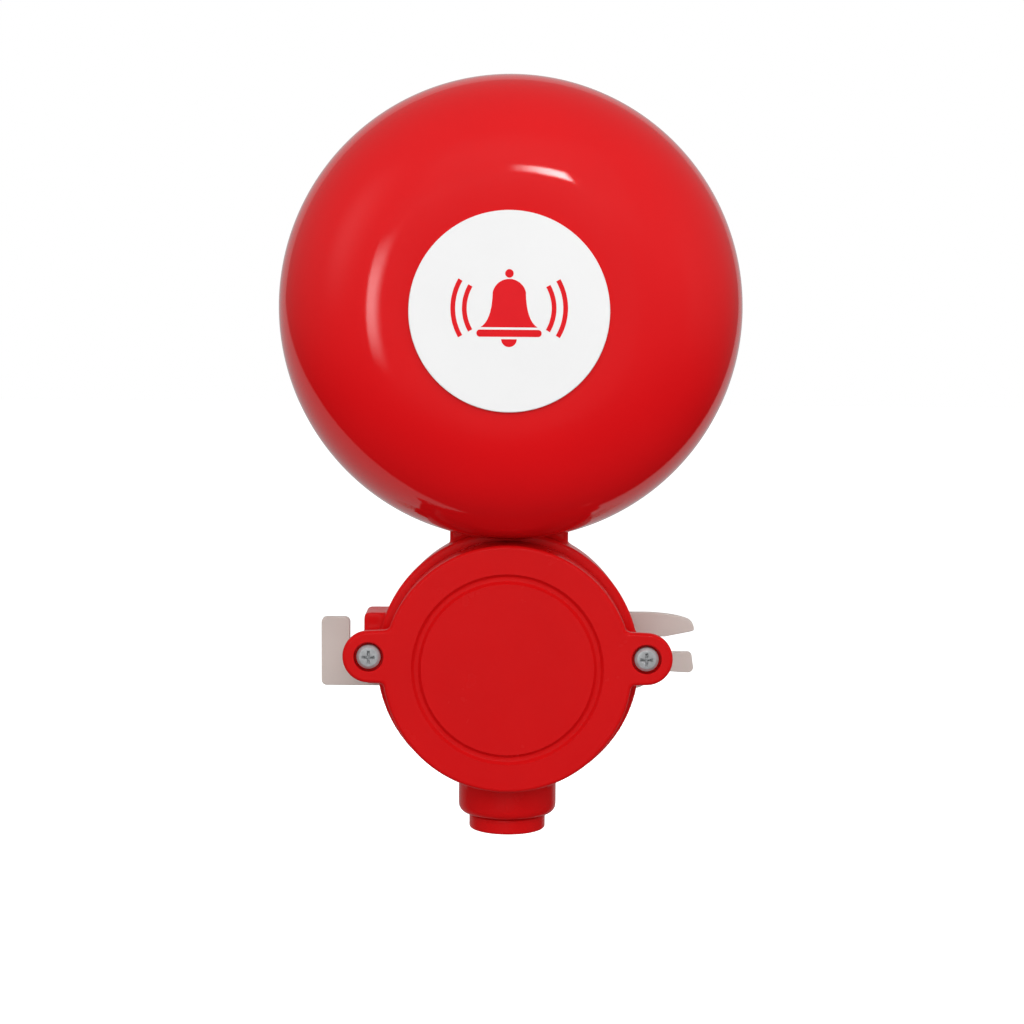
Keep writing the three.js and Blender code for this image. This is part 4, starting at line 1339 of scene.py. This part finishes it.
@dataclass
class BoxContents:
    """Terminal block, its screws, the earth screw, the line leads and the cover gasket."""

    height: float = BOX_HEIGHT
    floor: float = BOX_FLOOR
    block_front: float = -19.0
    ways: tuple[float, ...] = (-8.0, 0.0, 8.0)
    fixing_across: float = 15.5
    earth: Flat = EARTH_PLACE

    def build_block(self) -> None:
        """Mould the terminal block and fit its screws."""
        front = self.block_front
        outline = rounded_rectangle((-18.5, -7), (18.5, 7), 0.8)
        moulding = Form.plate(outline, front, self.floor - GAP).moved(z=self.height)
        body = moulding.thing("terminal_block_moulded")
        soften_edges(body, 0.35, 2)
        tools = [Form.bar(2.5, front - 1, -14).moved(x=x) for x in self.ways]
        tools += [Form.bar(1.7, -8, 8, Axis.HEIGHT).moved(x=x, y=-13.2) for x in self.ways]
        tools += [Form.bar(1.55, front - 1, 0).moved(x=side * self.fixing_across) for _, side in SIDES]
        tools += [Form.block((x - 0.5, front - 1, -8), (x + 0.5, front + 1.6, 8))
                  for x in (-12.0, -4.0, 4.0, 12.0)]
        carve(body, [tool.moved(z=self.height) for tool in tools])
        finished(body, "black_plastic", ["terminal_block"])
        for i, x in enumerate(self.ways):
            screw = Form.turned(eased([(0, -18.6), (2.15, -18.6), (2.15, -15.2), (0, -15.2)], 0.25),
                                Axis.DEPTH, 40)
            piece = screw.moved(x=x, z=self.height).thing(f"terminal_screw_{i + 1}_turned")
            carve(piece, [Form.block((x - 3, -20, self.height - 0.4), (x + 3, -17.6, self.height + 0.4))])
            finished(piece, "brass", [f"terminal_screw_{i + 1}"])
        fixing = Screw(2.5, 1.2, 14.6, 1.7)
        for name, side in SIDES:
            place = (side * self.fixing_across, front - GAP, self.height)
            fixing.build(f"block_screw_{name}", place, False, "zinc_plate")

    def build_earth(self) -> None:
        """Turn the earth screw and its washer."""
        across, up = self.earth[0], self.height + self.earth[1]
        Screw(3.2, 1.8, 5.6, 2.2, Drive.SLOT).build("earth_screw", (across, -12.4, up), False, "brass")
        washer = Form.ring(2.15, 4, -12.1, -11.3, ease=0.15, facets=48).moved(x=across, z=up)
        finished(washer.thing("earth_washer_turned"), "brass", ["earth_washer"])

    def build_leads(self) -> None:
        """Draw the two line leads from the suppressor board to the terminal block."""
        box_wall = self.height + BOX_BORE
        for name, side in SIDES:
            x, start = side * 4, -11.1
            path = smooth_path([
                (x, start, -3), (x, start, -14), (x, -13, -28), (x, -14, -50), (x, -14, box_wall),
                (x * 1.4, -14, box_wall - 12), (side * 8, -13.2, self.height + 7 + GAP),
            ])
            slot = "red_insulation" if side < 0 else "black_insulation"
            finished(Form.tube(path, 0.88).thing(f"line_lead_{name}_drawn"), slot, [f"line_lead_{name}"])

    def build(self) -> None:
        """Build everything in the junction box."""
        self.build_block()
        self.build_earth()
        self.build_leads()
        inner, outer = GASKET_RADII
        gasket = Form.ring(inner, outer, -28.58, -27.7, ease=0.25, facets=128).moved(z=self.height)
        finished(gasket.thing("cover_gasket_moulded"), "rubber", ["cover_gasket"])


# ------------------------------------------------------------------ nodes that keep their shape


def dress_kept_nodes() -> None:
    """Give each CAD node that still shows the procedural finish of its slot."""
    slots = {part["node"]: part["material_slot"] for part in frame["record"]["subparts"]}
    for node, body in frame["nodes"].items():
        if body.hide_render or node not in slots:
            continue
        body.data.materials.clear()
        body.data.materials.append(SLOT_FINISHES[slots[node]].material())
        LOG.info("%s keeps its shape, finish %s", node, slots[node])


# ------------------------------------------------------------------ studio


def heading(azimuth: float, elevation: float) -> Vector:
    """Direction from the bell towards a place round it, 0 in front and 90 on its right."""
    turn, rise = math.radians(azimuth), math.radians(elevation)
    flat = math.cos(rise)
    return Vector((math.sin(turn) * flat, -math.cos(turn) * flat, math.sin(rise)))


def hang(thing: bpy.types.Object, azimuth: float, elevation: float, distance: float) -> None:
    """Hang a light or a card round the bell, facing it.

    Args:
        thing: The light or card.
        azimuth: Degrees round the bell, 0 in front and 90 on its right.
        elevation: Degrees above the bell.
        distance: Metres from the bell.
    """
    out = heading(azimuth, elevation)
    thing.location = Vector((0, -40 * MM, -40 * MM)) + out * distance
    thing.rotation_mode = "QUATERNION"
    thing.rotation_quaternion = (-out).to_track_quat("-Z", "Y")


def maths(tree: bpy.types.NodeTree, operation: str, *values: object) -> bpy.types.NodeSocket:
    """Add one step of arithmetic.

    Args:
        tree: The node tree.
        operation: Name of the operation.
        values: Numbers or sockets.

    Returns:
        The result's socket.
    """
    node = tree.nodes.new("ShaderNodeMath")
    node.operation = operation
    for socket, value in zip(node.inputs, values):
        if isinstance(value, (int, float)):
            socket.default_value = value
        else:
            tree.links.new(value, socket)
    return node.outputs[0]


def ease_between(tree: bpy.types.NodeTree, value: bpy.types.NodeSocket, edges: Flat,
                 levels: Flat) -> bpy.types.NodeSocket:
    """Pass smoothly from one level to another as a value crosses two edges."""
    node = tree.nodes.new("ShaderNodeMapRange")
    node.interpolation_type = "SMOOTHSTEP"
    limits = ("From Min", "From Max", "To Min", "To Max")
    for limit, number in zip(limits, (*edges, *levels)):
        node.inputs[limit].default_value = number
    tree.links.new(value, node.inputs["Value"])
    return node.outputs["Result"]


@dataclass(frozen=True)
class Softbox:
    """A large light that shades the bell and doesn't show in its gloss."""

    name: str
    azimuth: float
    elevation: float
    distance: float
    size: Flat
    power: float

    def build(self) -> None:
        """Hang the light."""
        data = bpy.data.lights.new(self.name, "AREA")
        data.shape = "RECTANGLE"
        data.size, data.size_y = self.size
        data.energy = self.power
        lamp = bpy.data.objects.new(self.name, data)
        lamp.visible_glossy = False
        bpy.context.scene.collection.objects.link(lamp)
        hang(lamp, self.azimuth, self.elevation, self.distance)


@dataclass(frozen=True)
class Card:
    """A clear lit card that shows only in the gloss, and fades towards its edges."""

    name: str
    azimuth: float
    elevation: float
    distance: float
    size: Flat
    level: float
    fades: tuple[float, float, float, float] = (0.3, 0.3, 0.3, 0.3)

    def build(self) -> None:
        """Hang the card. The fades are shares of its size: left, right, foot and top."""
        corners = [(-0.5, -0.5, 0), (0.5, -0.5, 0), (0.5, 0.5, 0), (-0.5, 0.5, 0)]
        mesh = bpy.data.meshes.new(self.name)
        mesh.from_pydata(corners, [], [(0, 1, 2, 3)])
        card = bpy.data.objects.new(self.name, mesh)
        bpy.context.scene.collection.objects.link(card)
        card.scale = (*self.size, 1)
        hang(card, self.azimuth, self.elevation, self.distance)
        mesh.materials.append(self.material())
        card.visible_camera = False
        card.visible_diffuse = False
        card.visible_shadow = False
        card.visible_transmission = False

    def material(self) -> bpy.types.Material:
        """Light that fades towards each edge of the card."""
        material = bpy.data.materials.new(self.name)
        material.use_nodes = True
        tree = material.node_tree
        tree.nodes.clear()
        place = tree.nodes.new("ShaderNodeTexCoord")
        parts = tree.nodes.new("ShaderNodeSeparateXYZ")
        tree.links.new(place.outputs["Object"], parts.inputs["Vector"])
        left, right, foot, top = self.fades
        level = ease_between(tree, parts.outputs["X"], (-0.5, left - 0.5), (0, self.level))
        for axis, edges in (("X", (0.5, 0.5 - right)), ("Y", (-0.5, foot - 0.5)), ("Y", (0.5, 0.5 - top))):
            fade = ease_between(tree, parts.outputs[axis], edges, (0, 1))
            level = maths(tree, "MULTIPLY", level, fade)
        light = tree.nodes.new("ShaderNodeEmission")
        tree.links.new(level, light.inputs["Strength"])
        clear = tree.nodes.new("ShaderNodeBsdfTransparent")
        both = tree.nodes.new("ShaderNodeAddShader")
        tree.links.new(light.outputs["Emission"], both.inputs[0])
        tree.links.new(clear.outputs["BSDF"], both.inputs[1])
        output = tree.nodes.new("ShaderNodeOutputMaterial")
        tree.links.new(both.outputs["Shader"], output.inputs["Surface"])
        return material


@dataclass
class Studio:
    """Pale floor, white surroundings, softboxes, cards and the camera."""

    aim: Point = (0.971, -30.0, -66.258)
    distance: float = 800.0
    azimuth: float = 0.6
    elevation: float = 6.2
    roll: float = 0.45
    lens: float = 86.06
    sensor: float = 36.0
    floor_height: float = -420.0
    floor_size: float = 12000.0

    def build_camera(self) -> None:
        """Set the camera up in front, a little above the bell."""
        data = bpy.data.cameras.new("camera")
        data.lens, data.sensor_width = self.lens, self.sensor
        data.clip_start, data.clip_end = 0.05, 40
        camera = bpy.data.objects.new("camera", data)
        back = heading(self.azimuth, self.elevation)
        right = Vector((0, 0, 1)).cross(back).normalized()
        up = back.cross(right)
        cos, sin = math.cos(math.radians(self.roll)), math.sin(math.radians(self.roll))
        axes = Matrix((right * cos + up * sin, up * cos - right * sin, back)).transposed()
        place = Vector(self.aim) * MM + back * self.distance * MM
        camera.matrix_world = Matrix.Translation(place) @ axes.to_4x4()
        bpy.context.scene.collection.objects.link(camera)
        bpy.context.scene.camera = camera

    def build_floor(self) -> None:
        """Lay a plain pale floor well below the bell. It neither shades nor mirrors on the bell."""
        half = self.floor_size / 2
        low = (-half, -half, self.floor_height - 10)
        floor = Form.block(low, (half, half, self.floor_height)).thing("studio_floor")
        paper = Finish("floor_paper", (0.9, 0.9, 0.9), 0.8, tint=0.005).material()
        surface = paper.node_tree.nodes["Principled BSDF"]
        surface.inputs["Emission Color"].default_value = (1, 1, 1, 1)
        surface.inputs["Emission Strength"].default_value = 0.7
        floor.data.materials.append(paper)
        floor.visible_glossy = False
        floor.visible_diffuse = False

    def build_world(self) -> None:
        """Plain white behind everything, an even fill, and what the gloss mirrors."""
        world = bpy.data.worlds.new("studio")
        bpy.context.scene.world = world
        world.use_nodes = True
        tree = world.node_tree
        tree.nodes.clear()
        place = tree.nodes.new("ShaderNodeTexCoord")
        parts = tree.nodes.new("ShaderNodeSeparateXYZ")
        tree.links.new(place.outputs["Generated"], parts.inputs["Vector"])
        across, deep, up = (parts.outputs[axis] for axis in "XYZ")
        rays = tree.nodes.new("ShaderNodeLightPath").outputs
        fill = ease_between(tree, up, (-1, 0.4), (0.30, 0.50))
        below = maths(tree, "MAXIMUM", maths(tree, "MULTIPLY", up, -1.0), 0)
        leftward = maths(tree, "MAXIMUM", maths(tree, "MULTIPLY", across, -1.0), 0)
        corner = maths(tree, "MULTIPLY", below, maths(tree, "MULTIPLY", leftward, 0.63))
        slant = maths(tree, "ADD", maths(tree, "MULTIPLY", below, 0.5), maths(tree, "MULTIPLY", across, -0.1))
        backdrop = maths(tree, "ADD", deep, maths(tree, "ADD", corner, slant))
        white = ease_between(tree, backdrop, (0.735, 0.785), (0, 0.55))
        dim = ease_between(tree, up, (-0.5, 0.35), (0.01, 0.30))
        level = maths(tree, "MAXIMUM", white, dim)
        for seen, amount in ((rays["Is Diffuse Ray"], fill), (rays["Is Camera Ray"], 1.0)):
            kept = maths(tree, "MULTIPLY", level, maths(tree, "SUBTRACT", 1.0, seen))
            level = maths(tree, "ADD", kept, maths(tree, "MULTIPLY", amount, seen))
        around = tree.nodes.new("ShaderNodeBackground")
        tree.links.new(level, around.inputs["Strength"])
        output = tree.nodes.new("ShaderNodeOutputWorld")
        tree.links.new(around.outputs["Background"], output.inputs["Surface"])
        around.inputs["Color"].default_value = (1, 1, 1, 1)

    def build_lights(self) -> None:
        """Hang the softboxes and the cards."""
        for box in (
            Softbox("key_light", 6, 34, 1.4, (1.2, 0.9), 9),
            Softbox("front_fill", -4, 4, 2.2, (1.6, 1.4), 13),
            Softbox("rear_fill", 175, 35, 1.8, (1.6, 1.2), 10),
            Softbox("left_fill", -80, 10, 1.8, (1.2, 1.4), 3),
            Softbox("right_fill", 75, 10, 1.8, (1.2, 1.4), 4),
        ):
            box.build()
        for card in (
            Card("streak_card", 4.8, 25.6, 1.3, (0.26, 0.12), 20, (0.8, 0.02, 0.2, 0.3)),
            Card("left_strip_card", -21.5, 2, 1.5, (0.28, 0.66), 5.0, (0.12, 0.6, 0.45, 0.45)),
            Card("left_wall_card", -52, 22, 1.5, (1.1, 1.5), 0.8, (0.6, 0.7, 0.7, 0.7)),
            Card("overhead_card", -4, 36, 1.5, (1.6, 0.7), 0.16, (0.7, 0.7, 0.7, 0.7)),
            Card("right_wall_card", 62, 8, 1.6, (0.9, 1.3), 0.12, (0.7, 0.7, 0.7, 0.7)),
        ):
            card.build()

    def build(self) -> None:
        """Set the whole studio up."""
        self.build_camera()
        self.build_floor()
        self.build_world()
        self.build_lights()
        bpy.context.scene.view_settings.view_transform = "Standard"


# ------------------------------------------------------------------ assembly


def main() -> None:
    """Build every sub-assembly, dress the nodes that stay, and set the studio up."""
    logging.basicConfig(level=logging.INFO, format="%(name)s: %(message)s")
    ears = Ears()
    casting = Casting(ears)
    casting.build()
    JunctionCover(ears, Screw(3.9, 1.9, 17.5, 3.0)).build()
    Gong().build()
    LabelDisc().build()
    Bracket(Screw(3.5, 1.8, 9.5)).build()
    RearCover(Screw(2.9, 1.45, 11)).build(casting.rear_places())
    Gland().build()
    Striker().build()
    BoxContents().build()
    dress_kept_nodes()
    Studio().build()


if __name__ == "__main__":
    main()
